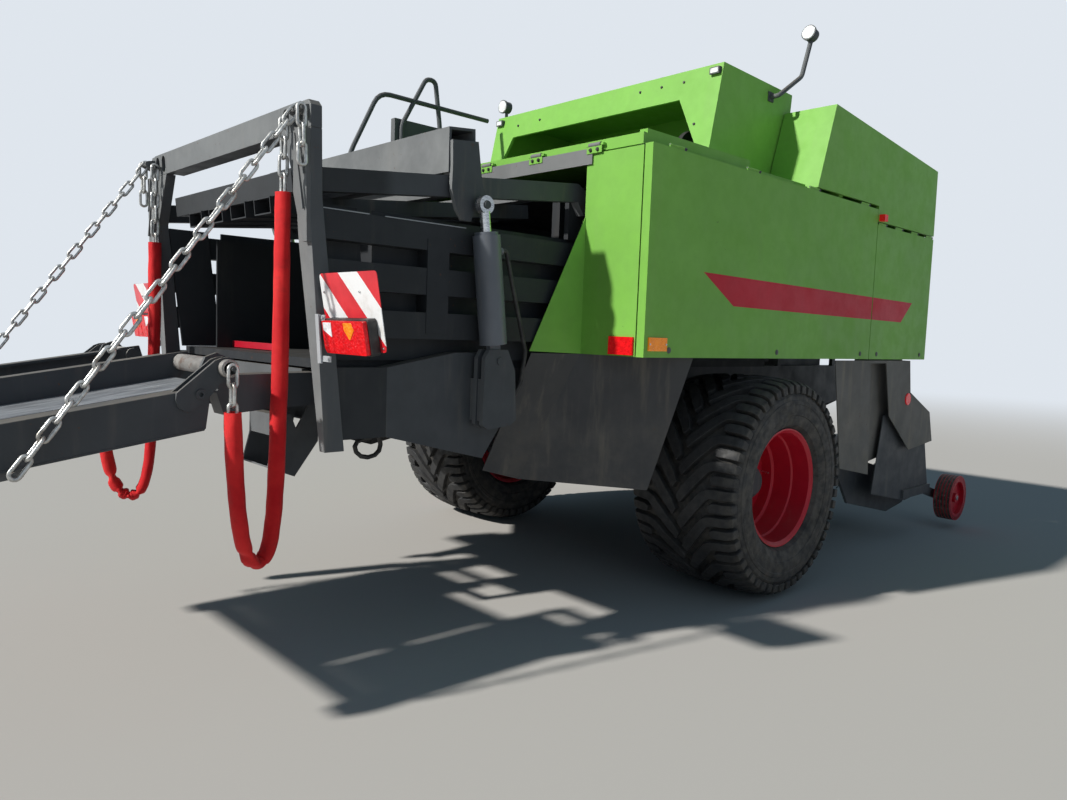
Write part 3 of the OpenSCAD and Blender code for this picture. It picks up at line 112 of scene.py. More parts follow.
def add_node(tree, kind, inputs=None, **settings):
    """Adds a shader node. Each input gets a value, or a link from another node's output."""
    node = tree.nodes.new("ShaderNode" + kind)
    for key, value in settings.items():
        setattr(node, key, value)
    for key, value in (inputs or {}).items():
        if isinstance(value, bpy.types.NodeSocket):
            tree.links.new(value, node.inputs[key])
        else:
            node.inputs[key].default_value = value
    return node


def make_world():
    """Camera and transmission rays see the background, glossy rays a share of it, the others the sky."""
    world = bpy.data.worlds.new("studio")
    world.use_nodes = True
    tree = world.node_tree
    tree.nodes.clear()
    rays = add_node(tree, "LightPath").outputs
    gloss = add_node(tree, "Math", {0: rays["Is Glossy Ray"], 1: GLOSS_SHARE}, operation="MULTIPLY")
    seen = add_node(tree, "Math", {0: rays["Is Camera Ray"], 1: gloss.outputs[0]}, operation="MAXIMUM")
    seen = add_node(tree, "Math", {0: seen.outputs[0], 1: rays["Is Transmission Ray"]}, operation="MAXIMUM")
    shown = add_node(tree, "Background", {"Color": BACKGROUND, "Strength": 1})
    light = add_node(tree, "Background", {"Color": SKY_TINT, "Strength": SKY_STRENGTH})
    mix = add_node(tree, "MixShader", {0: seen.outputs[0], 1: light.outputs[0], 2: shown.outputs[0]})
    add_node(tree, "OutputWorld", {0: mix.outputs[0]})
    bpy.context.scene.world = world


def make_floor():
    """A wide round floor that fades to the background colour far from the machine."""
    mesh = bpy.data.meshes.new("studio_floor")
    bm = bmesh.new()
    bmesh.ops.create_circle(bm, cap_ends=True, radius=FLOOR_R, segments=96)
    bm.to_mesh(mesh)
    bm.free()
    floor = bpy.data.objects.new("studio_floor", mesh)
    show(floor)
    made = bpy.data.materials.new("studio_floor")
    made.use_nodes = True
    tree = made.node_tree
    tree.nodes.clear()
    place = add_node(tree, "TexCoord").outputs["Object"]
    far = add_node(tree, "VectorMath", {0: place}, operation="LENGTH").outputs["Value"]
    fade = add_node(tree, "MapRange", {"Value": far, "From Min": FLOOR_FADE[0], "From Max": FLOOR_FADE[1]},
                    interpolation_type="SMOOTHSTEP")
    matt = add_node(tree, "BsdfDiffuse", {"Color": FLOOR_COLOUR})
    plain = add_node(tree, "Emission", {"Color": BACKGROUND})
    mix = add_node(tree, "MixShader", {0: fade.outputs[0], 1: matt.outputs[0], 2: plain.outputs[0]})
    add_node(tree, "OutputMaterial", {0: mix.outputs[0]})
    mesh.materials.append(made)


bpy.context.scene.view_settings.view_transform = "Standard"
make_camera()
make_world()
make_floor()
make_sun("key", KEY_FROM, KEY_STRENGTH, KEY_ANGLE, KEY_TINT)
make_sun("fill", FILL_FROM, FILL_STRENGTH, FILL_ANGLE, FILL_TINT)


# Materials

# Places of the colour sockets among all that Blender's Mix node has
MIX_A, MIX_B, MIX_OUT = 6, 7, 2


class Finish:
    """Builds one node material around a Principled shader."""

    def __init__(self, name, rough, metal=0.0, coat=0.0, coat_rough=0.1, sheen=0.0, specular=0.5):
        self.material = bpy.data.materials.new(name)
        self.material.use_nodes = True
        self.tree = self.material.node_tree
        self.inputs = self.tree.nodes["Principled BSDF"].inputs
        for key, value in (("Roughness", rough), ("Metallic", metal), ("Coat Weight", coat),
                           ("Coat Roughness", coat_rough), ("Sheen Weight", sheen),
                           ("Specular IOR Level", specular)):
            self.inputs[key].default_value = value
        self.place = self.add("TexCoord").outputs["Object"]
        self.height = None

    def add(self, kind, inputs=None, **settings):
        return add_node(self.tree, kind, inputs, **settings)

    def noise(self, scale, detail=3.0, rough=0.55, size=None):
        """Noise at the place in the row frame, multiplied by size along each axis."""
        where = self.place
        if size:
            where = self.add("Mapping", {"Vector": where, "Scale": size}).outputs["Vector"]
        inputs = {"Vector": where, "Scale": scale, "Detail": detail, "Roughness": rough}
        return self.add("TexNoise", inputs).outputs["Fac"]

    def cells(self, scale):
        return self.add("TexVoronoi", {"Vector": self.place, "Scale": scale}).outputs["Distance"]

    def ramp(self, value, low, high, to_low=0.0, to_high=1.0):
        inputs = {"Value": value, "From Min": low, "From Max": high, "To Min": to_low, "To Max": to_high}
        return self.add("MapRange", inputs, interpolation_type="SMOOTHSTEP").outputs["Result"]

    def cloud(self, low, high, *noise, size=None):
        """Noise spread so that low becomes 0 and high becomes 1."""
        return self.ramp(self.noise(*noise, size=size), low, high)

    def math(self, kind, a, b):
        return self.add("Math", {0: a, 1: b}, operation=kind).outputs[0]

    def times(self, a, b):
        return self.math("MULTIPLY", a, b)

    def part(self, vector, axis):
        return self.add("SeparateXYZ", {0: vector}).outputs[axis]

    def facing(self, axis, low, high):
        """0 where the surface's normal is below low along the axis, 1 where it is above high."""
        return self.ramp(self.part(self.add("NewGeometry").outputs["Normal"], axis), low, high)

    def mix(self, share, a, b):
        a, b = ((*value, 1) if isinstance(value, tuple) else value for value in (a, b))
        return self.add("Mix", {0: share, MIX_A: a, MIX_B: b}, data_type="RGBA").outputs[MIX_OUT]

    def patches(self, a, b, low, high, *noise, size=None, share=None):
        """Colour a with patches of b, where noise runs from low to high. share is how strong b gets."""
        cloud = self.cloud(low, high, *noise, size=size)
        return self.mix(self.times(cloud, share) if share else cloud, a, b)

    def colour(self, value):
        self.tree.links.new(value, self.inputs["Base Color"])

    def rough(self, smooth, rough, low, high, *noise, size=None):
        """Roughness between two values, by noise that runs from low to high."""
        value = self.ramp(self.noise(*noise, size=size), low, high, smooth, rough)
        self.tree.links.new(value, self.inputs["Roughness"])

    def bump(self, value, distance):
        inputs = {"Distance": distance, "Height": value}
        if self.height is not None:
            inputs["Normal"] = self.height
        self.height = self.add("Bump", inputs).outputs["Normal"]
        self.tree.links.new(self.height, self.inputs["Normal"])


DUST = (0.30, 0.26, 0.20)
RUST = (0.13, 0.055, 0.025)
# Grey of the faces that look back: part weathering, part painted highlight for the light from behind.
WEATHERED_AND_LIT_GREY = (0.26, 0.27, 0.27)


def darker(colour, share):
    return tuple(c * share for c in colour)


def paint(name, base, rough=0.5, coat=0.0, dust=0.35, streaks=0.25, chips=0.0, chip_colour=RUST,
          fade=0.16, waves=0.0012, low_dust=0.0, specular=0.3, weathered_and_lit=0.0, painted_shade_behind=None):
    """Sprayed paint on sheet or plate: uneven tone, dust on top faces, run-down streaks, chips and grain.

    weathered_and_lit is how far the faces that look back are greyed: partly rain and road dust, partly a
    painted highlight where the light from behind falls on them. Behind the X painted_shade_behind the paint
    is darkened to painted shade.
    """
    f = Finish(name, rough, coat=coat, coat_rough=0.25, specular=specular)
    tone = f.patches(darker(base, 1 - fade), darker(base, 1 + fade * 0.8), 0.3, 0.7, 1.1, 4)
    tone = f.patches(tone, darker(base, 0.72), 0.3, 0.7, 14, 5, share=0.22)
    tone = f.patches(tone, DUST, 0.52, 0.78, 3.2, 5, size=(5, 5, 0.55), share=streaks)
    top = f.times(f.facing("Z", 0.25, 0.95), f.ramp(f.noise(5, 6, 0.65), 0.2, 0.7, 0.35, 1))
    tone = f.mix(f.times(top, dust), tone, DUST)
    if weathered_and_lit:
        # Faces that look back turn grey: partly weathering, partly a painted highlight for the light from
        # behind.
        back = f.times(f.facing("X", -0.4, -0.9), f.ramp(f.noise(2.2, 6, 0.7), 0.25, 0.75, 0.5, 1))
        tone = f.mix(f.times(back, weathered_and_lit), tone, WEATHERED_AND_LIT_GREY)
    if low_dust:
        low = f.ramp(f.part(f.place, "Z"), 0.5, 1.5, 1, 0)
        patch = f.times(low, f.cloud(0.35, 0.75, 4.5, 6, 0.7))
        tone = f.mix(f.times(patch, low_dust), tone, DUST)
    if chips:
        spot = f.cloud(0.70 - 0.05 * chips, 0.73 - 0.05 * chips, 38, 5, 0.7)
        tone = f.mix(f.times(spot, f.cloud(0.48, 0.66, 2.6, 3)), tone, chip_colour)
    if painted_shade_behind is not None:
        # Painted shade: behind the given X the paint is darkened to 0.35 of its base.
        painted_shade = f.ramp(f.part(f.place, "X"), painted_shade_behind - 0.04, painted_shade_behind + 0.04, 0.9, 0)
        tone = f.mix(painted_shade, tone, darker(base, 0.35))
    f.colour(tone)
    f.rough(rough - 0.08, rough + 0.16, 0.25, 0.8, 7, 6, 0.6)
    if waves:
        f.bump(f.noise(1.7, 2), waves * 6)
    f.bump(f.noise(420, 2), 0.00012)
    return f.material


def galvanised(name):
    f = Finish(name, 0.38, metal=0.85)
    tone = f.patches((0.42, 0.42, 0.41), (0.66, 0.66, 0.64), 0.35, 0.65, 60, 4)
    f.colour(f.patches(tone, (0.22, 0.17, 0.12), 0.55, 0.72, 9, 5, share=0.55))
    f.rough(0.28, 0.55, 0.3, 0.7, 45, 4)
    f.bump(f.noise(300, 3), 0.0003)
    return f.material


def bright_steel(name):
    f = Finish(name, 0.16, metal=1.0)
    f.colour(f.patches((0.55, 0.56, 0.57), (0.75, 0.76, 0.77), 0.3, 0.7, 30, 3, size=(1, 1, 6)))
    f.rough(0.12, 0.3, 0.3, 0.7, 90, 3, size=(1, 1, 12))
    return f.material


def worn_pipe(name):
    """Bare grey pipe, scuffed and dull, with rusty stains."""
    f = Finish(name, 0.55, metal=0.35)
    tone = f.patches((0.20, 0.19, 0.18), (0.48, 0.46, 0.43), 0.3, 0.7, 12, 6, 0.65, size=(1, 0.35, 1))
    f.colour(f.patches(tone, RUST, 0.56, 0.68, 26, 5, share=0.6))
    f.rough(0.4, 0.75, 0.3, 0.7, 30, 4)
    f.bump(f.noise(160, 4), 0.0005)
    return f.material


def scoured(name):
    """Floor plate scoured by bales: grey steel with long scratches and dark patches."""
    f = Finish(name, 0.42, metal=0.35)
    tone = f.patches((0.20, 0.21, 0.23), (0.40, 0.42, 0.44), 0.3, 0.7, 26, 4, 0.6, size=(0.12, 1, 1))
    f.colour(f.patches(tone, (0.09, 0.095, 0.10), 0.55, 0.8, 3.5, 5, 0.6))
    f.rough(0.3, 0.6, 0.3, 0.7, 40, 4, 0.6, size=(0.15, 1, 1))
    f.bump(f.noise(60, 3, size=(0.15, 1, 1)), 0.0008)
    return f.material


def sleeve_cloth(name):
    """Red protective sleeving: woven nylon with soiled patches."""
    f = Finish(name, 0.66, sheen=0.08, specular=0.15)
    tone = f.patches((0.60, 0.010, 0.016), (0.82, 0.030, 0.030), 0.3, 0.7, 5, 5)
    f.colour(f.patches(tone, (0.16, 0.03, 0.025), 0.5, 0.8, 11, 6, 0.7, share=0.45))
    weave = f.add("TexWave", {"Vector": f.place, "Scale": 260}, bands_direction="Z")
    f.bump(f.noise(18, 4), 0.003)
    f.bump(weave.outputs["Fac"], 0.0002)
    return f.material


WHEEL_Z = 0.660
TYRE_R = 0.660


def rubber(name):
    """Tyre rubber, with grey-brown road dust held in the grooves."""
    f = Finish(name, 0.72)
    tone = f.patches((0.012, 0.013, 0.015), (0.030, 0.031, 0.033), 0.3, 0.7, 6, 5)
    away = f.add("VectorMath", {0: f.place, 1: (0, 0, WHEEL_Z)}, operation="SUBTRACT").outputs[0]
    away = f.add("VectorMath", {0: away, 1: (1, 0, 1)}, operation="MULTIPLY").outputs[0]
    away = f.add("VectorMath", {0: away}, operation="LENGTH").outputs["Value"]
    groove = f.ramp(away, TYRE_R - 0.045, TYRE_R - 0.012, 1, 0.25)
    soil = f.times(groove, f.cloud(0.35, 0.7, 13, 6, 0.65))
    f.colour(f.mix(f.times(soil, 0.35), tone, (0.17, 0.15, 0.12)))
    f.rough(0.55, 0.85, 0.3, 0.7, 25, 4)
    f.bump(f.noise(120, 4), 0.0008)
    return f.material


def plain_rubber(name):
    f = Finish(name, 0.6)
    f.colour(f.patches((0.012, 0.012, 0.013), (0.05, 0.048, 0.045), 0.35, 0.7, 22, 5))
    f.bump(f.noise(260, 3), 0.0004)
    return f.material


def gauge_rubber(name):
    """The gauge wheel's tread: rubber with scuffed red paint and soil."""
    f = Finish(name, 0.7)
    tone = f.patches((0.035, 0.028, 0.025), (0.16, 0.075, 0.06), 0.4, 0.62, 9, 6, 0.7)
    f.colour(f.patches(tone, (0.20, 0.17, 0.14), 0.5, 0.72, 30, 5))
    f.bump(f.noise(90, 4), 0.0012)
    return f.material


# Strength of the painted glow in the lenses: light that no lamp gives.
LENS_PAINTED_GLOW = 0.22


def lens(name, base):
    """A ribbed plastic lens with a clear coat, given a faint painted glow: an emission of its own colour that
    stands in for the light its prisms send back.
    """
    f = Finish(name, 0.22, coat=0.25, coat_rough=0.05, specular=0.3)
    for key, value in (("Subsurface Weight", 0.15), ("Subsurface Radius", (0.02, 0.01, 0.01)),
                       ("Emission Color", (*base, 1)), ("Emission Strength", LENS_PAINTED_GLOW)):
        f.inputs[key].default_value = value
    f.colour(f.patches(darker(base, 0.72), base, 0.35, 0.65, 35, 3))
    f.bump(f.cells(90), 0.0022)
    return f.material


def moulded(name):
    """Black moulded plastic, bloomed grey by sun and dust."""
    f = Finish(name, 0.5)
    f.colour(f.patches((0.016, 0.016, 0.017), (0.055, 0.053, 0.050), 0.4, 0.75, 16, 5))
    f.bump(f.noise(500, 2), 0.00025)
    return f.material


STRIPE_PITCH = 0.282
STRIPE_START = 1.545


def board_face(name):
    """Red and white foil in stripes that fall to the right, half a pitch apart on the two boards."""
    f = Finish(name, 0.32, coat=0.4, coat_rough=0.12)
    y, z = f.part(f.place, "Y"), f.part(f.place, "Z")
    slant = f.math("SUBTRACT", f.math("SUBTRACT", z, y), STRIPE_START)
    slant = f.math("ADD", slant, f.times(f.math("GREATER_THAN", y, 0.0), STRIPE_PITCH / 2))
    share = f.math("FRACT", f.math("ADD", f.math("DIVIDE", slant, STRIPE_PITCH), 20), 0.0)
    red = f.patches((0.62, 0.008, 0.018), (0.78, 0.02, 0.03), 0.3, 0.7, 9, 5)
    white = f.patches((0.86, 0.87, 0.87), (0.66, 0.64, 0.60), 0.45, 0.8, 12, 6, 0.7)
    tone = f.mix(f.math("LESS_THAN", share, 0.5), white, red)
    f.colour(f.patches(tone, (0.35, 0.33, 0.31), 0.66, 0.72, 55, 5, 0.75, share=0.6))
    f.bump(f.cells(700), 0.00008)
    return f.material


GREEN = (0.205, 0.480, 0.075)
ANTHRACITE = (0.066, 0.072, 0.080)

M = {
    "green": paint("green_paint_finish", GREEN, rough=0.44, dust=0.12, streaks=0.05, fade=0.08, chips=0.35,
                   chip_colour=(0.05, 0.09, 0.03)),
    "dark": paint("dark_paint_finish", ANTHRACITE, dust=0.40, streaks=0.12, chips=0.8,
                  weathered_and_lit=0.35),
    # The chamber's paint is the frame's anthracite darkened to 0.55 as painted shade inside and along the
    # chamber.
    "chamber": paint("chamber_painted_shade_finish", darker(ANTHRACITE, 0.55), dust=0.12, streaks=0.06,
                     chips=0.8, specular=0.2),
    "trim": paint("pale_trim_finish", (0.42, 0.44, 0.46), dust=0.1, streaks=0.1, fade=0.08,
                  waves=0),
    "worn": paint("worn_paint_finish", (0.135, 0.138, 0.140), rough=0.55, dust=0.55, streaks=0.25, chips=1.3,
                  weathered_and_lit=0.5),
    "cylinder": paint("cylinder_paint_finish", (0.150, 0.165, 0.190), rough=0.34, coat=0.2, dust=0.3,
                      chips=0.5, waves=0, specular=0.4),
    "skirt": paint("skirt_paint_finish", (0.070, 0.070, 0.073), dust=0.3, streaks=0.28, chips=0.6,
                   low_dust=0.25, waves=0.002),
    "dusty": paint("dusty_skirt_finish", (0.17, 0.165, 0.155), rough=0.62, dust=0.6, streaks=0.45, chips=1.2,
                   low_dust=0.45, waves=0.002, specular=0.2),
    "red": paint("red_paint_finish", (0.56, 0.012, 0.032), rough=0.38, coat=0.15, dust=0.15, streaks=0.08,
                 fade=0.12, chips=0.3, chip_colour=(0.12, 0.02, 0.015), waves=0),
    "stripe": paint("red_stripe_finish", (0.60, 0.010, 0.030), rough=0.40, dust=0.1, streaks=0.04, fade=0.08,
                    waves=0),
    "pipe": worn_pipe("worn_pipe_finish"),
    "zinc": galvanised("zinc_finish"),
    "steel": bright_steel("bright_steel_finish"),
    "sleeve": sleeve_cloth("red_sleeve_finish"),
    "rubber": rubber("tyre_rubber_finish"),
    "hose": plain_rubber("hose_rubber_finish"),
    "gauge": gauge_rubber("gauge_rubber_finish"),
    "lens_red": lens("lens_red_finish", (0.72, 0.008, 0.012)),
    "lens_amber": lens("lens_amber_finish", (0.95, 0.28, 0.012)),
    "lens_clear": lens("lens_clear_finish", (0.82, 0.83, 0.84)),
    "board": board_face("board_finish"),
    "moulding": moulded("moulding_finish"),
    "portal": paint("portal_paint_finish", (0.095, 0.101, 0.108), dust=0.5, streaks=0.2, chips=1.2,
                    weathered_and_lit=0.75),
    # The yoke's rear end gets painted shade. Its faces that look back get a painted highlight along with
    # weathering.
    "yoke": paint("yoke_paint_finish", ANTHRACITE, dust=0.5, streaks=0.25, chips=1.2,
                  weathered_and_lit=0.9, painted_shade_behind=-2.40),
    "scoured": scoured("scoured_floor_finish"),
}

NODE_FINISH = {
    "dark": ["main_frame", "axle", "drawbar", "stand", "side_sills", "rear_portal", "chute_mounts", "chute",
             "chute_roller", "cylinder_brackets", "railing", "work_lamps", "gearbox", "flywheel",
             "pickup_frame", "hub_right", "hub_left", "door_rails"],
    "chamber": ["chamber_floor", "chamber_sides", "chamber_roof", "knotter_shaft"],
    "cylinder": ["cylinder_barrels"],
    "yoke": ["density_yoke"],
    "steel": ["cylinder_rod_right", "cylinder_rod_left"],
    "green": ["side_door_right", "side_door_left", "front_door_right", "front_door_left", "rear_panels",
              "front_hood", "knotter_hood", "deck"],
    "skirt": ["rear_skirts"],
    "dusty": ["front_skirts", "twine_racks"],
    "worn": ["rear_flap", "pickup_reel"],
    "red": ["rim_right", "rim_left", "gauge_wheel_right", "gauge_wheel_left"],
    "lens_red": ["marker_lamps"],
    "lens_amber": ["reflector_right", "reflector_left"],
    "hose": ["hoses"],
}


def dress_nodes():
    for finish, names in NODE_FINISH.items():
        for name in names:
            data = NODES[name].data
            data.materials.clear()
            data.materials.append(M[finish])
            for polygon in data.polygons:
                polygon.material_index = 0


dress_nodes()


# Making meshes

BOX_FACES = [(0, 1, 3, 2), (4, 6, 7, 5), (0, 4, 5, 1), (2, 3, 7, 6), (0, 2, 6, 4), (1, 5, 7, 3)]
BEVEL_FROM = math.radians(35)
HOLE_STEPS = 28


def set_in(q, along, axis):
    """The point whose two other coordinates are q's, in X Y Z order."""
    q = list(q)
    q.insert("xyz".index(axis), along)
    return q


def on_side(outline, side):
    """An outline in Y and Z for the left side, or its mirror image on the right."""
    return [(side * y, z) for y, z in outline]


def both_sides(make):
    for side, word in SIDES.items():
        make(side, word)


def circle(r):
    return lambda turn: (r * math.cos(turn), r * math.sin(turn))


def band(a, b, n):
    """Faces between two rings of n points each, which begin at the points a and b."""
    return [(a + k, a + (k + 1) % n, b + (k + 1) % n, b + k) for k in range(n)]


def wall(start, count, n, closed=False):
    """Faces between count rings of n points each, the first ring beginning at the point start."""
    faces = []
    for i in range(count if closed else count - 1):
        a, b = start + i * n, start + (i + 1) % count * n
        faces += [(a + k, b + k, b + (k + 1) % n, a + (k + 1) % n) for k in range(n)]
    return faces


def reach_of(corners, ray):
    """How far a ray from the origin runs to the outline of corners."""
    reach = 0
    for p, q in zip(corners, corners[1:] + corners[:1]):
        edge = q - p
        under = ray.x * edge.y - ray.y * edge.x
        if abs(under) > 1e-9:
            t = (p.x * edge.y - p.y * edge.x) / under
            along = (p.x * ray.y - p.y * ray.x) / under
            if -1e-4 <= along <= 1 + 1e-4 and t > 0:
                reach = max(reach, t)
    return reach


class Shape:
    """Collects closed forms in the row frame and makes one piece of them."""

    def __init__(self):
        self.points, self.faces = [], []
        self.finish, self.finish_of = 0, []

    def add(self, points, faces):
        start = len(self.points)
        self.points += [Vector(p) for p in points]
        self.faces += [[start + i for i in face] for face in faces]
        self.finish_of += [self.finish] * len(faces)
        return self

    def join(self, rows, ends=(), loop=False):
        """Skins rows of as many points each. With loop, the last row also joins the first."""
        n, count = len(rows[0]), len(rows)
        faces = []
        for i in range(count if loop else count - 1):
            faces += band(i * n, (i + 1) % count * n, n)
        return self.add([p for row in rows for p in row], faces + list(ends))

    def box(self, low, high):
        corners = [(x, y, z) for x in (low[0], high[0]) for y in (low[1], high[1]) for z in (low[2], high[2])]
        return self.add(corners, BOX_FACES)

    def side_box(self, side, low, high):
        """A box given for the left side, or its mirror image on the right."""
        near, far = sorted((side * low[1], side * high[1]))
        return self.box((low[0], near, low[2]), (high[0], far, high[2]))

    def prism(self, outline, a, b, axis="y"):
        """An outline in the two other axes, in X Y Z order, drawn out along the axis from a to b."""
        n = len(outline)
        points = [set_in(q, a, axis) for q in outline] + [set_in(q, b, axis) for q in outline]
        sides = [(i, (i + 1) % n, n + (i + 1) % n, n + i) for i in range(n)]
        return self.add(points, [tuple(range(n)), tuple(range(2 * n - 1, n - 1, -1))] + sides)

    def rod(self, a, b, r, n=16):
        return self.tube([a, b], r, n)

    def tube(self, path, r, n=12, closed=False):
        """A round tube along a path. Its rings turn with the path and don't twist."""
        path = [Vector(p) for p in path]
        count = len(path)
        ahead = []
        for i in range(count):
            before = path[i - 1] if closed or i else path[0]
            after = path[(i + 1) % count] if closed or i < count - 1 else path[-1]
            ahead.append((after - before).normalized())
        side = ahead[0].orthogonal().normalized()
        points = []
        for i, p in enumerate(path):
            side = (side - side.dot(ahead[i]) * ahead[i]).normalized()
            other = ahead[i].cross(side)
            for k in range(n):
                turn = 2 * math.pi * k / n
                points.append(p + r * (math.cos(turn) * side + math.sin(turn) * other))
        faces = wall(0, count, n, closed)
        if not closed:
            faces += [tuple(range(n)), tuple(range(count * n - 1, count * n - n - 1, -1))]
        return self.add(points, faces)

    def ring(self, profile, centre, n=48):
        """A closed profile of (radius, place along Y) turned about the Y axis through centre."""
        rows = []
        for k in range(n):
            turn = 2 * math.pi * k / n
            points = [Vector((r * math.cos(turn), y, r * math.sin(turn))) for r, y in profile]
            rows.append([Vector(centre) + p for p in points])
        return self.join(rows, loop=True)

    def bolt(self, place, out, size=0.010):
        """A hexagon bolt head on its washer, standing out from a surface."""
        place, out = Vector(place), Vector(out).normalized()
        self.rod(place - out * 0.001, place + out * size * 0.22, size * 1.15, 14)
        self.rod(place, place + out * size * 0.85, size * 0.92, 6)
        return self.rod(place, place + out * size * 1.0, size * 0.5, 10)

    def holed(self, outline, centre, hole, a, b, axis="y"):
        """A prism with a hole through it. hole gives the hole's edge for an angle about the centre."""
        centre = Vector(centre)
        corners = [Vector(p) - centre for p in outline]
        steps = [2 * math.pi * (k + 0.5) / HOLE_STEPS - math.pi for k in range(HOLE_STEPS)]
        rows = []
        for turn in sorted({round(t, 5) for t in steps + [math.atan2(p.y, p.x) for p in corners]}):
            ray = Vector((math.cos(turn), math.sin(turn)))
            inner, outer = centre + Vector(hole(turn)), centre + ray * reach_of(corners, ray)
            corner = ((outer, a), (outer, b), (inner, b), (inner, a))
            rows.append([set_in(q, along, axis) for q, along in corner])
        return self.join(rows, loop=True)

    def lean(self, turn):
        self.points = [turn @ p for p in self.points]
        return self

    def warp(self, move):
        """Moves each point by a function."""
        self.points = [Vector(move(p)) for p in self.points]
        return self

    def piece(self, name, body, finish, bevel=0.0, smooth=38, stands_for=None):
        """Makes the object. finish is one name, or a list that self.finish counts through.

        stands_for names the CAD node that the piece is shown in place of.
        """
        finishes = [finish] if isinstance(finish, str) else finish
        mesh = bpy.data.meshes.new(name)
        mesh.from_pydata([p[:] for p in self.points], [], self.faces)
        bm = bmesh.new()
        bm.from_mesh(mesh)
        bmesh.ops.recalc_face_normals(bm, faces=bm.faces)
        bm.to_mesh(mesh)
        bm.free()
        for one in finishes:
            mesh.materials.append(M[one])
        for polygon in mesh.polygons:
            polygon.use_smooth = True
            polygon.material_index = self.finish_of[polygon.index]
        mesh.set_sharp_from_angle(angle=math.radians(smooth))
        made = bpy.data.objects.new(name, mesh)
        show(made)
        if bevel:
            round_edges(made, bevel)
        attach(made, body)
        if stands_for:
            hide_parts(stands_for)
        return made


def round_edges(made, width):
    cut = made.modifiers.new("rounded_edges", "BEVEL")
    cut.width = width
    cut.segments = 2
    cut.limit_method = "ANGLE"
    cut.angle_limit = BEVEL_FROM
    cut.harden_normals = True


def smooth_path(points, per):
    """A smooth curve through the points, with per steps between each two."""
    points = [Vector(p) for p in points]
    ends = [2 * points[0] - points[1]] + points + [2 * points[-1] - points[-2]]
    made = []
    for i in range(1, len(ends) - 2):
        a, b, c, d = ends[i - 1:i + 3]
        for k in range(per):
            t = k / per
            made.append(0.5 * (2 * b + (c - a) * t + (2 * a - 5 * b + 4 * c - d) * t ** 2
                               + (3 * b - a - 3 * c + d) * t ** 3))
    return made + [points[-1]]


# Chains

WIRE_R = 0.007
LINK_PITCH = 0.0734
LINK_W = 0.048
PIN_R = 0.008
PIN_GAP = 0.0003
EYE = Vector((-2.826, 0.870, 2.368))
CHAIN_FALL = math.radians(54.7)
CHAIN_LINKS = 23
HINGE = Vector((-3.070, 0, 1.347))
STAPLE = Vector((-2.8182, 0.757, 2.3412))


def add_link(shape, start, along, across):
    """One round-wire link from start, its opening a pitch long, lying in the plane of along and across."""
    bend = LINK_W / 2 - WIRE_R
    near, far = bend - WIRE_R, LINK_PITCH + PIN_GAP - (bend - WIRE_R)
    path = []
    for middle, first in ((far, -90), (near, 90)):
        for k in range(9):
            turn = math.radians(first + k * 22.5)
            path.append(start + along * (middle + bend * math.cos(turn)) + across * bend * math.sin(turn))
    shape.tube(path, WIRE_R, 10, closed=True)


def add_chain(shape, pin, along, across, count):
    """Links on from a pin, each turned by a quarter from the last."""
    along, across = along.normalized(), across.normalized()
    other = along.cross(across)
    start = pin - along * (PIN_R + PIN_GAP)
    for k in range(count):
        add_link(shape, start + along * k * LINK_PITCH, along, other if k % 2 else across)


def mirrored(p, side):
    return Vector((p[0], p[1] * side, p[2]))


def make_taut_chains(side, word):
    shape = Shape()
    along = Vector((-math.cos(CHAIN_FALL), 0, -math.sin(CHAIN_FALL)))
    across = Vector((math.sin(CHAIN_FALL), 0, -math.cos(CHAIN_FALL)))
    add_chain(shape, mirrored(EYE, side), along, across, CHAIN_LINKS)
    shape.piece("taut_chain_" + word, "chain_" + word, "zinc", smooth=60, stands_for="chain_" + word)


SLEEVE_LOW = [(-2.822, 0.758, 1.500), (-2.830, 0.760, 1.150), (-2.842, 0.764, 0.850), (-2.858, 0.772, 0.690),
              (-2.884, 0.784, 0.590), (-2.930, 0.802, 0.550), (-2.980, 0.826, 0.575), (-3.018, 0.846, 0.660),
              (-3.046, 0.860, 0.820), (-3.062, 0.868, 1.000), (-3.070, 0.870, 1.180)]
SLEEVE_TOP_Z = {RIGHT: 2.060, LEFT: 1.940}
SLEEVE_R = 0.040
SLEEVE_WALL = 0.003
SLEEVE_AROUND = 28
SLEEVE_KINKS = {RIGHT: (0.565, 0.625, 0.70), LEFT: (0.53, 0.60, 0.665, 0.74)}
TOP_LINKS = {RIGHT: 4, LEFT: 6}
LOW_LINKS = 3


def sleeve_ring(path, i, side, thick):
    """The sleeve's cross section at the step i, sunk by thick: flattened, creased, folded and kinked."""
    last = len(path) - 1
    ahead = (path[min(i + 1, last)] - path[max(i - 1, 0)]).normalized()
    wide = Vector((0.25, 1.0 * side, 0)).normalized()
    wide = (wide - wide.dot(ahead) * ahead).normalized()
    thin = ahead.cross(wide)
    run = i / len(path)
    kink = sum(math.exp(-((run - place) / 0.012) ** 2) for place in SLEEVE_KINKS[side])
    end = math.exp(-((1 - run) / 0.03) ** 2)
    flat = (0.84 + 0.08 * math.sin(9 * run + side) - 0.25 * end) * (1 - 0.55 * kink)
    bow = max(0.0, 1 - abs(run - 0.60) / 0.13)
    ring = []
    for k in range(SLEEVE_AROUND):
        turn = 2 * math.pi * k / SLEEVE_AROUND
        place = Vector((math.cos(turn) * 1.6, math.sin(turn) * 1.6 + 7 * side, run * 30))
        fold = 0.0045 * bow * math.sin(run * 260) * max(0, -math.cos(turn))
        r = SLEEVE_R * (0.90 + 0.06 * noise.noise(place) + 0.10 * end + 0.10 * kink) - fold - thick
        ring.append(path[i] + wide * r * math.cos(turn) + thin * r * flat * math.sin(turn))
    return ring


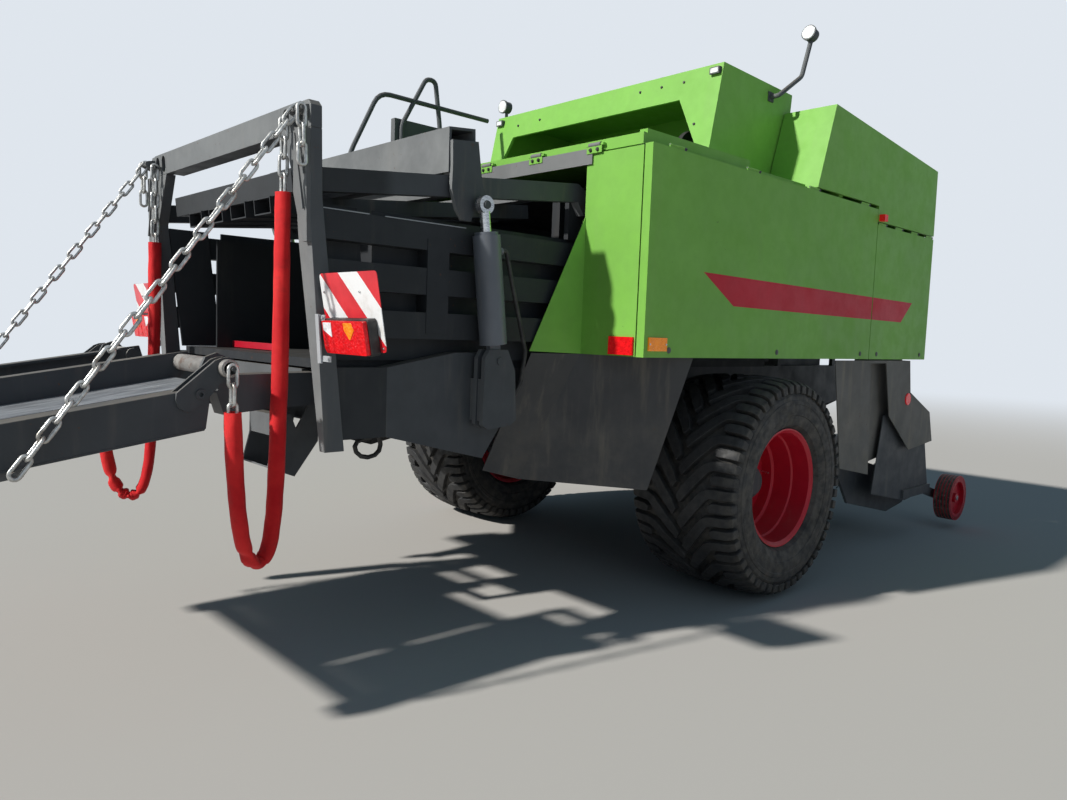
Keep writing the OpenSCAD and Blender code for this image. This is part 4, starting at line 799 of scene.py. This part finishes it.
def make_sleeves(side, word):
    """The sleeved chains: a soft flattened tube round each, open at both ends, and links at its ends."""
    top = [(STAPLE.x, STAPLE.y, SLEEVE_TOP_Z[side]), (STAPLE.x - 0.002, STAPLE.y, 1.780)]
    path = smooth_path([mirrored(p, side) for p in top + SLEEVE_LOW], 9)
    count, n = len(path), SLEEVE_AROUND
    points = [q for thick in (0, SLEEVE_WALL) for i in range(count)
              for q in sleeve_ring(path, i, side, thick)]
    faces = wall(0, count, n) + wall(count * n, count, n)
    for end in (0, (count - 1) * n):
        faces += band(end, end + count * n, n)
    shape = Shape().add(points, faces)
    shape.finish = 1
    pin = Vector((HINGE.x, side * EYE.y, HINGE.z))
    staple = mirrored(STAPLE, side)
    for start, links in ((staple, TOP_LINKS[side]), (pin, LOW_LINKS)):
        add_chain(shape, start, Vector((0, 0, -1)), Vector((1, 0, 0)), links)
    sleeve = shape.piece("sleeved_chain_" + word, "baler", ["sleeve", "zinc"], smooth=70,
                         stands_for="hanging_chain_" + word)


both_sides(make_sleeves)
both_sides(make_taut_chains)


# Tyres

# Half outlines as (radius, distance from the wheel's middle plane)
TREAD = [(0.660, 0.0), (0.657, 0.130), (0.649, 0.230), (0.636, 0.310), (0.616, 0.343), (0.565, 0.349),
         (0.48, 0.350)]
CARCASS = [(0.622, 0.0), (0.618, 0.200), (0.600, 0.290), (0.578, 0.326), (0.552, 0.342), (0.530, 0.344),
           (0.526, 0.348), (0.505, 0.350), (0.500, 0.347), (0.470, 0.349), (0.440, 0.345), (0.436, 0.340),
           (0.412, 0.337), (0.378, 0.322), (0.366, 0.304), (0.3553, 0.288), (0.340, 0.288)]
CARCASS_IN = [(0.340, 0.258), (0.367, 0.258), (0.424, 0.310), (0.48, 0.316), (0.560, 0.312),
              (0.590, 0.200), (0.595, 0)]
PITCHES = 26
WHEEL_Y = 1.200
LUG_SUNK = 0.045
LUG_FOOT = 0.005
TREAD_END = 0.43
LONG_START = 0.1016
SHORT_START = 0.0219
# Lugs as (place across the tread, place round it, half width), measured over the tread's outline in metres
SHOULDER = [(0.24, 0, 0.0275), (0.311, 0, 0.027), (0.352, 0, 0.0265), (0.396, 0, 0.025)]
LONG_LUG = [(0.003, -0.222, 0.030), (0.050, -0.167, 0.030), (0.108, -0.098, 0.030), (0.150, -0.048, 0.0295),
            (0.178, -0.018, 0.029), (0.205, -0.004, 0.028)] + SHOULDER
SHORT_LUG = [(0.212, -0.006, 0.020)] + SHOULDER


def tread_point(u, depth):
    """(radius, distance from the middle plane) at the length u along the tread's outline, sunk by depth."""
    for (ra, ya), (rb, yb) in zip(TREAD, TREAD[1:]):
        step = math.hypot(rb - ra, yb - ya)
        if u <= step or (rb, yb) == TREAD[-1]:
            t = u / step
            out = Vector((yb - ya, -(rb - ra))).normalized()
            return ra + (rb - ra) * t - out.x * depth, ya + (yb - ya) * t - out.y * depth
        u -= step


def add_lug(shape, lug, turn, side, half):
    """half is the side of the tread that the lug lies on."""
    rows = []
    for i, (u, arc, wide) in enumerate(lug):
        a, b = lug[max(i - 1, 0)], lug[min(i + 1, len(lug) - 1)]
        ahead = Vector((b[0] - a[0], b[1] - a[1])).normalized()
        across = Vector((-ahead.y, ahead.x))
        row = []
        foot = wide + LUG_FOOT
        for depth, spread in ((LUG_SUNK, -foot), (0.0, -wide), (0.0, wide), (LUG_SUNK, foot)):
            r, y = tread_point(min(max(0.0, u + across.x * spread), TREAD_END), depth)
            angle = turn + (arc + across.y * spread) / TYRE_R
            row.append((r * math.sin(angle), side * WHEEL_Y + half * max(y, 0.0005),
                        WHEEL_Z + r * math.cos(angle)))
        rows.append(row)
    last = 4 * len(rows) - 1
    shape.join(rows, [(0, 1, 2, 3), (last, last - 1, last - 2, last - 3)])


def make_tyres(side, word):
    body = "wheel_" + word
    outer = CARCASS + CARCASS_IN
    inner = [(r, -y) for r, y in reversed(outer) if y > 0]
    casing = Shape().ring(outer + inner, (0, side * WHEEL_Y, WHEEL_Z), 144)
    casing.piece("tyre_casing_" + word, body, "rubber", smooth=24, stands_for="tyre_" + word)
    lugs = Shape()
    for k in range(PITCHES):
        for half in (-1, 1):
            turn = 2 * math.pi * (k + 0.5 * (half != side)) / PITCHES
            add_lug(lugs, LONG_LUG, turn + LONG_START / TYRE_R, side, half)
            add_lug(lugs, SHORT_LUG, turn + SHORT_START / TYRE_R, side, half)
    lugs.piece("tyre_lugs_" + word, body, "rubber", bevel=0.004)


both_sides(make_tyres)


# Wheels

STUDS = 10
STUD_RING = 0.129
GAUGE_R = 0.190
GAUGE_W = 0.130
GAUGE_AXLE = Vector((2.930, 1.430, 0.256))
GAUGE_NUT_Y = 1.472


def make_wheel_fittings(side, word):
    nuts = Shape()
    face = side * (WHEEL_Y - 0.048)
    for k in range(STUDS):
        turn = 2 * math.pi * k / STUDS
        place = Vector((STUD_RING * math.cos(turn), face, WHEEL_Z + STUD_RING * math.sin(turn)))
        nuts.rod(place, place + Vector((0, side * 0.004, 0)), 0.024, 16)
        nuts.rod(place, place + Vector((0, side * 0.024, 0)), 0.0195, 6)
    nuts.piece("wheel_nuts_" + word, "wheel_" + word, "worn", bevel=0.0012)
    valve = Shape()
    foot = Vector((0.262, side * (WHEEL_Y - 0.040), WHEEL_Z + 0.03))

    def along(x, y):
        return foot + Vector((x, side * y, 0))

    valve.tube(smooth_path([foot, along(0.006, 0.03), along(-0.01, 0.075)], 4), 0.004, 10)
    valve.rod(along(-0.0095, 0.07), along(-0.014, 0.092), 0.0055, 12)
    valve.piece("tyre_valve_" + word, "wheel_" + word, "steel")


def make_gauge_wheels():
    """Rubber tread band with shallow grooves, and the axle nut."""
    half = GAUGE_W / 2
    profile = [(GAUGE_R - 0.030, -half), (GAUGE_R - 0.006, -half)]
    for k in range(5):
        y = -half + 0.013 + k * 0.026
        profile += [(GAUGE_R + lift, y + across)
                    for lift, across in ((0.0006, -0.010), (0.0006, 0.008), (-0.002, 0.0095))]
    profile += [(GAUGE_R - 0.006, half), (GAUGE_R - 0.030, half)]
    for side, word in SIDES.items():
        band = Shape().ring(profile, mirrored(GAUGE_AXLE, side), 72)
        band.piece("gauge_tread_" + word, "gauge_wheel_" + word, "gauge", smooth=30)
        nut = Shape()
        end = Vector((GAUGE_AXLE.x, side * GAUGE_NUT_Y, GAUGE_AXLE.z))
        out = Vector((0, side, 0))
        nut.rod(end, end + out * 0.012, 0.030, 20)
        nut.rod(end, end + out * 0.0195, 0.022, 6)
        nut.piece("gauge_nut_" + word, "pickup", "steel", bevel=0.001)


both_sides(make_wheel_fittings)
make_gauge_wheels()


# Doors

BODY_Y = 1.400
STRIPE_TOP = ((-0.781, 1.876), (1.913, 1.849))
STRIPE_LOW = ((-0.487, 1.711), (1.733, 1.699))
STRIPE_THICK = 0.0006
SEAM = (1.236, 1.244)
SEAM_EDGE = 0.002
LOCK_Z = 1.462


def on_line(line, x):
    (xa, za), (xb, zb) = line
    return za + (zb - za) * (x - xa) / (xb - xa)


def make_stripes():
    """The red stripe, a sloping-ended band over both doors of a side, parted at the seam."""
    ends = [[(x + gap, on_line(line, x)) for line in (STRIPE_TOP, STRIPE_LOW)]
            for x, gap in zip(SEAM, (-SEAM_EDGE, SEAM_EDGE))]
    rear = [STRIPE_TOP[0], STRIPE_LOW[0], ends[0][1], ends[0][0]]
    front = [*ends[1], STRIPE_LOW[1], STRIPE_TOP[1]]
    for side, word in SIDES.items():
        y = sorted((side * BODY_Y, side * (BODY_Y + STRIPE_THICK)))
        Shape().prism(rear, *y).piece("stripe_rear_" + word, "side_door_" + word, "stripe")
        Shape().prism(front, *y).piece("stripe_front_" + word, "front_door_" + word, "stripe")


def make_door_fittings(side, word):
    """Quarter-turn locks along the doors' lower edge, and the reflectors' screws."""
    out = Vector((0, side, 0))
    for body, places in (("side_door_", (-1.05, 0.0, 1.10)), ("front_door_", (1.36, 2.12))):
        locks = Shape()
        for x in places:
            place = Vector((x, side * BODY_Y, LOCK_Z))
            locks.rod(place, place + out * 0.003, 0.016, 24)
            locks.rod(place, place + out * 0.005, 0.011, 24)
            locks.side_box(side, (x - 0.009, BODY_Y, LOCK_Z - 0.002),
                           (x + 0.009, BODY_Y + 0.007, LOCK_Z + 0.002))
        locks.piece(body + "locks_" + word, body + word, "worn", bevel=0.0006)
    screws = Shape()
    for x in (-1.212, -1.083):
        screws.bolt((x, side * 1.408, 1.4905), out, 0.0045)
    screws.piece("reflector_screws_" + word, "side_door_" + word, "steel")


make_stripes()
both_sides(make_door_fittings)


# Rear portal and the chamber's rear ends

PORTAL_FOOT_Z = 1.000
POST_Y = (0.810, 0.920)
POST_WALL = 0.010
BEAM_Z = (2.305, 2.415)
BEAM_DEPTH = 0.090
BEAM_HALF = 0.672
OVAL_Y = (0.7145, 0.7995)
OVAL_Z = 2.360
OVAL_R = 0.026
OVAL_RISE = 0.016
OVAL_CELL = 0.0425
OVAL_WALL = 0.040
POST_CORNER = [(POST_Y[0], 2.045), (POST_Y[0], BEAM_Z[0]), (0.680, BEAM_Z[0])]
POST_TOP = [(0.842, BEAM_Z[0]), (POST_Y[1], BEAM_Z[0]), (POST_Y[1], 2.391), (0.896, BEAM_Z[1]),
            (0.842, BEAM_Z[1])]
# Plates on a post's rear face: the outline, and the two places in X, from that face, between which they lie
POST_PLATES = (
    ([(0.812, 2.300), (0.917, 2.300), (0.917, 1.857), (0.880, 1.857), (0.812, 2.060)], -0.020, 0.0005),
    ([(0.822, 2.290), (0.830, 2.290), (0.905, 1.985), (0.897, 1.985)], -0.026, -0.013),
    ([(0.858, 2.300), (0.864, 2.300), (0.908, 2.120), (0.902, 2.120)], -0.024, -0.013))
EYE_PLATE = [(-2.760, 2.330), (-2.775, 2.395), (-2.826, 2.385), (-2.837, 2.379), (-2.842, 2.368),
             (-2.837, 2.357), (-2.826, 2.351)]
SPARE_Y = 0.921
SPARE_LINKS = 3


def rect(low, high):
    return [(low[0], low[1]), (high[0], low[1]), (high[0], high[1]), (low[0], high[1])]


def portal_rear(z):
    return -2.700 - 0.0645 * (z - PORTAL_FOOT_Z)


def post_rear(z):
    return -2.703 - 0.083 * (z - 1.0) if z < 1.95 else -2.7819 - 0.0065 * (z - 1.95)


def portal_front(z):
    return -2.612 - 0.112 * (z - 1.0) if z < 2.04 else -2.7285 - 0.02 * (z - 2.04)


def post_inner(z):
    return POST_Y[0] + 0.065 * min(1.0, max(0.0, (1.85 - z) / 0.85))


def solid_post_front(z):
    """Where the CAD's post ends, and its chamber walls begin."""
    return -2.3904 - 0.11924 * (z - PORTAL_FOOT_Z)


def make_post(side, word):
    """A slender post, hollow at its foot. Its X is drawn as a share of the depth from rear to front."""
    post = Shape()
    rows = []
    for z, inset in ((1.9, POST_WALL), (1.0, POST_WALL), (1.0, 0), (1.4, 0), (1.85, 0), (1.95, 0), (2.04, 0),
                     (BEAM_Z[0], 0)):
        t = inset / BEAM_DEPTH
        low, high = side * (post_inner(z) + inset), side * (POST_Y[1] - inset)
        rows.append([(t, low, z), (1 - t, low, z), (1 - t, high, z), (t, high, z)])
    last = 4 * len(rows)
    post.join(rows, [(0, 1, 2, 3), tuple(range(last - 4, last))])
    for outline in (POST_CORNER, POST_TOP):
        post.prism(on_side(outline, side), 0, 1, "x")
    post.warp(lambda p: (post_rear(p.z) * (1 - p.x) + portal_front(p.z) * p.x, p.y, p.z))
    post.piece("portal_post_" + word, "baler", "portal", bevel=0.003, stands_for="rear_portal")


def make_post_fittings(side, word):
    """The post's plates, the taut chain's eye with spare links on its pin, and the sleeved chain's staple."""
    fittings = Shape()
    for outline, rear, front in POST_PLATES:
        fittings.prism(on_side(outline, side), rear, front, "x")
    fittings.warp(lambda p: (post_rear(p.z) + p.x, p.y, p.z))
    for y in (0.840, 0.900):
        fittings.prism(EYE_PLATE, side * (y - 0.005), side * (y + 0.005))
    fittings.rod((EYE.x, side * 0.834, EYE.z), (EYE.x, side * 0.936, EYE.z), PIN_R, 20)
    for y in (0.745, 0.769):
        fittings.side_box(side, (STAPLE.x, y - 0.004, STAPLE.z - 0.006),
                          (-2.786, y + 0.004, STAPLE.z + 0.006))
    fittings.rod((STAPLE.x, side * 0.741, STAPLE.z), (STAPLE.x, side * 0.773, STAPLE.z), PIN_R, 20)
    fittings.piece("portal_fittings_" + word, "baler", "worn", bevel=0.0012, stands_for="rear_portal")

    spare = Shape()
    add_chain(spare, Vector((EYE.x, side * SPARE_Y, EYE.z)), Vector((0.02, side * 0.02, -1)),
              Vector((1, 0, 0)), SPARE_LINKS)
    spare.piece("spare_links_" + word, "baler", "zinc", smooth=60, stands_for="rear_portal")


def make_portal():
    """The rear portal. It stands for the CAD's portal, with the slender posts that the photograph shows."""
    def oval(turn):
        rise = math.copysign(OVAL_RISE, math.sin(turn))
        return OVAL_R * math.cos(turn), OVAL_R * math.sin(turn) + rise

    beam = Shape().box((0, -BEAM_HALF, BEAM_Z[0]), (BEAM_DEPTH, BEAM_HALF, BEAM_Z[1]))
    for side, word in SIDES.items():
        make_post(side, word)
        make_post_fittings(side, word)
        for y in OVAL_Y:
            cell = rect((side * y - OVAL_CELL, BEAM_Z[0]), (side * y + OVAL_CELL, BEAM_Z[1]))
            beam.holed(cell, (side * y, OVAL_Z), oval, 0, OVAL_WALL, "x")
    beam.warp(lambda p: (portal_rear(p.z) + p.x, p.y, p.z))
    beam.piece("portal_beam", "baler", "portal", bevel=0.002, stands_for="rear_portal")


SILL_Z = (1.045, 1.352)
SILL_PLATE = 0.012
SILL_Y = (0.8213, 0.8885)
SILL_JOINT_X = -2.440
YOKE_HINGE = (-1.156, 2.200)
YOKE_TILT = math.radians(6)
YOKE_RAIL = rect((1.2995, 0.030), (1.572, 0.125))


def make_chamber_ends(side, word):
    """The walls, ribs and sill plates run on to the slender post, and the yoke's rails towards it."""
    ends = Shape()

    def run_on(low, high, near, far, level=False):
        """A plate from where the solid one ends to the post. With level, it starts upright."""
        start = solid_post_front(low if level else high)
        ends.prism([(solid_post_front(low), low), (portal_front(low) + 0.001, low),
                    (portal_front(high) + 0.001, high), (start, high)], side * near, side * far)

    run_on(1.3803, 2.030, 0.804, 0.820)
    for k in range(3):
        run_on(1.48 + 0.2 * k, 1.60 + 0.2 * k, 0.8195, 0.900, level=True)
    run_on(*SILL_Z, 0.888, 0.900, level=True)
    for rear, front in ((SILL_JOINT_X, -2.392), (portal_front(SILL_Z[1]), SILL_JOINT_X)):
        ends.side_box(side, (rear, SILL_Y[0], SILL_Z[1] - SILL_PLATE), (front, SILL_Y[1], SILL_Z[1]))
    run_on(SILL_Z[0], SILL_Z[0] + SILL_PLATE, 0.7900, SILL_Y[1])
    ends.piece("chamber_end_" + word, "baler", "chamber")

    rail = Shape().prism(YOKE_RAIL, side * 0.842, side * 0.894)
    rail.warp(lambda p: (YOKE_HINGE[0] - p.x * math.cos(YOKE_TILT) - p.z * math.sin(YOKE_TILT), p.y,
                         YOKE_HINGE[1] - p.x * math.sin(YOKE_TILT) + p.z * math.cos(YOKE_TILT)))
    rail.piece("yoke_rail_end_" + word, "yoke", "yoke")


LAMP_FACE_R = 0.043
LAMP_FACE_Z = (3.118, 3.144)
HOOD_BOLTS = ((-0.752, 3.109), (-0.577, 3.112), (-0.402, 3.113), (-0.887, 2.823), (0.542, 3.090),
              (0.777, 3.083))


def hood_rear(z):
    """X of the knotter hood's rear face at the height z."""
    return -0.280 + (z - 2.620) * 0.12 / 0.56


def make_hood_fittings():
    """Bolts on the knotter hood's rear face, and the clear faces of the four work lamps."""
    bolts = Shape()
    for y, z in HOOD_BOLTS:
        bolts.bolt((hood_rear(z), y, z), (-1, 0, 0.2), 0.008)
    bolts.piece("hood_bolts", "baler", "moulding")
    faces = Shape()
    x = hood_rear(3.133) - 0.0262
    for side in SIDES:
        faces.side_box(side, (x - 0.002, 0.985 - 0.026, LAMP_FACE_Z[0]), (x, 0.985 + 0.026, LAMP_FACE_Z[1]))
    faces.rod((-0.1538, 1.0, 3.270), (-0.1575, 1.0, 3.270), LAMP_FACE_R, 32)
    beam = Vector((-math.sin(math.radians(80)), 0, math.cos(math.radians(80))))
    front = Vector((0.735, -1.090, 3.560)) + beam * 0.0438
    faces.rod(front, front + beam * 0.0035, LAMP_FACE_R, 32)
    faces.piece("work_lamp_faces", "baler", "lens_clear", smooth=30)


FLAP_X = -1.256
FLAP_HINGE_Z = 2.495
FLAP_HINGES = (-1.027, -0.591, -0.167, 0.167, 0.591, 1.027)


def make_rear_flap():
    """The strip under the deck's rear lip. It ends at the panels' inner edges. The CAD's runs past them."""
    flap = Shape().box((FLAP_X - 0.004, -1.012, 2.400), (FLAP_X, 1.012, 2.481))
    plates, bolts = Shape(), Shape()
    for y in FLAP_HINGES:
        tube = [(0.0064, y - 0.040), (0.012, y - 0.040), (0.012, y + 0.040), (0.0064, y + 0.040)]
        flap.ring(tube, (FLAP_X, 0, FLAP_HINGE_Z), 24)
        plates.box((FLAP_X - 0.008, y - 0.052, 2.452), (FLAP_X - 0.0042, y + 0.052, 2.487))
        for reach in (-0.024, 0.024):
            bolts.bolt((FLAP_X - 0.008, y + reach, 2.469), (-1, 0, 0), 0.009)
    for shape, name, finish, bevel in ((flap, "rear_flap_strip", "worn", 0.001),
                                       (plates, "flap_hinge_plates", "green", 0.001),
                                       (bolts, "flap_hinge_bolts", "moulding", 0)):
        shape.piece(name, "flap", finish, bevel, stands_for="rear_flap")


def make_chamber_trim():
    """The red edge of the chamber's floor, and a painted highlight on the upper edges of its highest ribs:
    thin pale strips where the light catches them.
    """
    edge = Shape().box((-2.452, 0.040, 1.384), (-2.440, 0.760, 1.420))
    edge.box((-2.456, 0.730, 1.415), (-2.444, 0.760, 1.468))
    edge.piece("chamber_floor_edge", "baler", "red", bevel=0.002)
    for side, word in SIDES.items():
        # Thin pale strips on the ribs' upper edges: a painted highlight.
        lip = Shape()
        for rear, front in ((-2.715, -2.50), (-2.42, -1.98)):
            lip.side_box(side, (rear, 0.896, 1.9995), (front, 0.9025, 2.0035))
        lip.piece("rib_top_highlight_" + word, "baler", "trim")


make_portal()
both_sides(make_chamber_ends)
make_chamber_trim()
make_hood_fittings()
make_rear_flap()


# Chute

CHUTE_SLOPE = math.radians(9)
CHUTE_FRAME = Matrix(((-math.cos(CHUTE_SLOPE), 0, -math.sin(CHUTE_SLOPE), HINGE.x), (0, 1, 0, 0),
                      (-math.sin(CHUTE_SLOPE), 0, math.cos(CHUTE_SLOPE), HINGE.z), (0, 0, 0, 1)))
BEAM_TOP = -0.062
BEAM_LOW = -0.222
BEAM_END = 1.131
RAIL_END = 1.043
LUG = (0.7668, -0.2263)
PIPE_R = 0.034
PIPE_HOLE = circle(0.0355)
BEAM_LINE = [(0.062, BEAM_TOP), (BEAM_END - 0.030, BEAM_TOP), (BEAM_END, BEAM_TOP - 0.030),
             (BEAM_END - 0.006, BEAM_LOW + 0.040), (BEAM_END - 0.080, BEAM_LOW), (0.110, BEAM_LOW)]
HINGE_PLATE = [(-0.042, -0.014), (-0.036, 0.026), (-0.016, 0.041), (0.012, 0.042), (0.038, 0.036),
               (0.201, -0.063), (0.208, -0.087), (0.203, -0.117), (0.180, -0.138), (0.152, -0.141),
               (0.081, -0.098), (0.014, -0.044), (-0.022, -0.038)]
BOSS = (0.115, -0.083)
RAIL_LINE = [(-0.044, -0.020), (-0.036, 0.042), (RAIL_END - 0.030, 0.042), (RAIL_END, 0.010),
             (RAIL_END, -0.150), (0.060, -0.150), (0.010, -0.060)]
# The pipe's skin as (radius, distance from the middle)
PIPE_SKIN = [(PIPE_R + 0.0002, 0.297), (PIPE_R + 0.0008, 0.2975), (PIPE_R + 0.0008, 0.8495),
             (PIPE_R - 0.002, 0.8503), (PIPE_R - 0.0085, 0.8503), (PIPE_R - 0.0085, 0.802),
             (PIPE_R - 0.008, 0.802), (PIPE_R - 0.008, 0.8495)]
CROSS_BARS = (0.150, 0.6466)
BAR_W = 0.060
MIDDLE_Y = 0.307


def chute_piece(shape, name, finish, bevel):
    shape.lean(CHUTE_FRAME).piece(name, "chute", finish, bevel, stands_for="chute")


def make_chute_side(side, word):
    beam = Shape().prism(BEAM_LINE, side * 0.690, side * 0.800)
    beam.side_box(side, (0.115, 0.700, BEAM_LOW - 0.004), (1.040, 0.8035, BEAM_LOW + 0.005))
    chute_piece(beam, "chute_beam_" + word, "dark", 0.004)

    plate = Shape()
    for near, far in ((0.797, 0.812), (0.745, 0.757)):
        plate.holed(HINGE_PLATE, (0, 0), PIPE_HOLE, side * near, side * far)
    for r, y, thick in ((0.019, 0.812, 0.009), (0.013, 0.8115, 0.0105)):
        turns = [k * math.pi / 12 for k in range(24)]
        edge = [(BOSS[0] + r * math.cos(turn), BOSS[1] + r * math.sin(turn)) for turn in turns]
        plate.holed(edge, BOSS, circle(0.008), side * y, side * (y + thick))
    chute_piece(plate, "chute_hinge_plate_" + word, "dark", 0.0015)

    rail = Shape().holed(RAIL_LINE, (0, 0), PIPE_HOLE, side * 0.308, side * 0.328)
    rail.side_box(side, (0.060, 0.258, 0.030), (RAIL_END - 0.040, 0.309, 0.042))
    chute_piece(rail, "chute_rail_" + word, "dark", 0.002)

    floor = Shape().side_box(side, (0.040, 0.329, BEAM_TOP - 0.001), (1.050, 0.7005, BEAM_TOP + 0.002))
    chute_piece(floor, "chute_floor_" + word, "scoured", 0.0015)

    lug = Shape().side_box(side, (LUG[0] - 0.040, 0.760, LUG[1] - 0.030),
                           (LUG[0] + 0.040, 0.780, BEAM_LOW + 0.001))
    lug.rod((LUG[0], side * 0.779, LUG[1]), (LUG[0], side * 0.8627, LUG[1]), PIN_R, 20)
    chute_piece(lug, "chute_chain_lug_" + word, "worn", 0.0015)

    pipe = Shape().ring(PIPE_SKIN, (0, 0, 0), 40)
    pipe.warp(lambda p: (p.x + HINGE.x, side * p.y, p.z + HINGE.z))
    pipe.piece("hinge_pipe_skin_" + word, "baler", "pipe", smooth=40)


def make_chute():
    """The chute, in its own coordinates: X behind the hinge along the slope, Z above it.

    Its floor plates lie clear of the gaps that the record keeps open.
    """
    both_sides(make_chute_side)
    middle = Shape().box((0.110, -MIDDLE_Y, -0.1885), (1.030, MIDDLE_Y, -0.181))
    for s in CROSS_BARS:
        middle.box((s, -MIDDLE_Y, -0.182), (s + BAR_W, MIDDLE_Y, -0.179))
    for s in CROSS_BARS:
        middle.box((s, -0.691, -0.180), (s + BAR_W, 0.691, -0.120))
    chute_piece(middle, "chute_middle_floor", "scoured", 0.0015)


make_chute()


# Warning boards

ROUND_STEPS = 4
BOARD_FOOT = Vector((-2.72, 0, 1.5825))
BOARD_LEAN = (Matrix.Translation(BOARD_FOOT) @ Matrix.Rotation(math.radians(-10), 4, "Y")
              @ Matrix.Translation(-BOARD_FOOT))
BOARD = rect((0.934, 1.430), (1.357, 1.735))
BOARD_BACK = rect((0.945, 1.440), (1.346, 1.724))
BRACKET_Z = (1.475, 1.660)
LAMP_HOUSING = [(0.995, 1.424), (1.312, 1.420), (1.320, 1.428), (1.320, 1.552), (1.312, 1.560),
                (0.999, 1.560)]
LAMP_LENS = [(1.018, 1.426), (1.311, 1.426), (1.311, 1.554), (1.004, 1.554), (1.004, 1.446)]
LENS_RIBS = (1.081, 1.165, 1.237)
CLEAR_WINDOW = [(1.018, 1.548), (1.078, 1.548), (1.076, 1.490), (1.016, 1.518)]
AMBER_WINDOW = [(1.170, 1.548), (1.228, 1.548), (1.243, 1.520), (1.207, 1.482), (1.174, 1.518)]
STRIP_LINE = [(-2.741, 1.372), (-2.733, 1.372), (-2.749, 1.571), (-2.757, 1.571)]
# The strip's arms as (X of the rear face, height, reach outward)
STRIP_ARMS = ((-2.743, 1.556, 0.975), (-2.733, 1.392, 1.010))
BOARD_BOLTS = ((0.960, 1.660), (1.225, 1.660), (0.952, 1.446), (1.340, 1.446))


def rounded(outline, r):
    """The outline with each corner rounded to a radius."""
    made = []
    count = len(outline)
    for i, p in enumerate(outline):
        p = Vector(p)
        a, b = Vector(outline[i - 1]) - p, Vector(outline[(i + 1) % count]) - p
        cut = min(r / math.tan(a.angle(b) / 2), a.length * 0.45, b.length * 0.45)
        start, end = p + a.normalized() * cut, p + b.normalized() * cut
        for k in range(ROUND_STEPS + 1):
            t = k / ROUND_STEPS
            made.append((1 - t) ** 2 * start + 2 * t * (1 - t) * p + t ** 2 * end)
    return made


def make_board(side, word):
    """A board that leans back a little, with its lamp cluster, bracket and bolts, and the strip beside it."""
    def plate(outline, r, rear, front, shape=None):
        return (shape or Shape()).prism(rounded(on_side(outline, side), r), rear, front, "x")

    def keep(shape, name, finish, bevel=0.0, turn=BOARD_LEAN):
        shape.lean(turn).piece(name + word, "baler", finish, bevel, stands_for="warning_boards")

    keep(plate(BOARD, 0.020, -2.722, -2.719), "warning_board_", "board", 0.0006)

    holder = plate(BOARD_BACK, 0.015, -2.7187, -2.717)
    for z in BRACKET_Z:
        for near, far, front in ((0.905, 1.250, -2.711), (0.921, 0.926, -2.690)):
            holder.side_box(side, (-2.717, near, z - 0.020), (front, far, z + 0.020))
    keep(holder, "board_bracket_", "dark", 0.0012)

    lamp = plate(LAMP_HOUSING, 0.006, -2.762, -2.7225)
    lamp.side_box(side, (-2.768, 0.990, 1.436), (-2.724, 0.996, 1.512))
    keep(lamp, "lamp_housing_", "moulding", 0.003)

    red = plate(LAMP_LENS, 0.008, -2.780, -2.7618)
    for y in LENS_RIBS:
        red.side_box(side, (-2.7815, y - 0.0012, 1.430), (-2.779, y + 0.0012, 1.551))
    keep(red, "lamp_lens_", "lens_red", 0.003)

    windows = plate(CLEAR_WINDOW, 0.003, -2.7822, -2.779)
    windows.finish = 1
    plate(AMBER_WINDOW, 0.003, -2.7822, -2.779, windows)
    keep(windows, "lamp_windows_", ["lens_clear", "lens_amber"], 0.0008)

    strip = Shape().prism(STRIP_LINE, side * 0.921, side * 0.948)
    for x, z, reach in STRIP_ARMS:
        strip.side_box(side, (x, 0.921, z - 0.012), (x + 0.005, reach, z + 0.012))
        strip.bolt((x, side * (reach - 0.012), z), (-1, 0, 0), 0.008)
    keep(strip, "board_strip_", "trim", 0.0008, Matrix())

    bolts = Shape()
    for y, z in BOARD_BOLTS:
        bolts.bolt((-2.722, side * y, z), (-1, 0, 0), 0.005)
    keep(bolts, "board_bolts_", "steel")


both_sides(make_board)
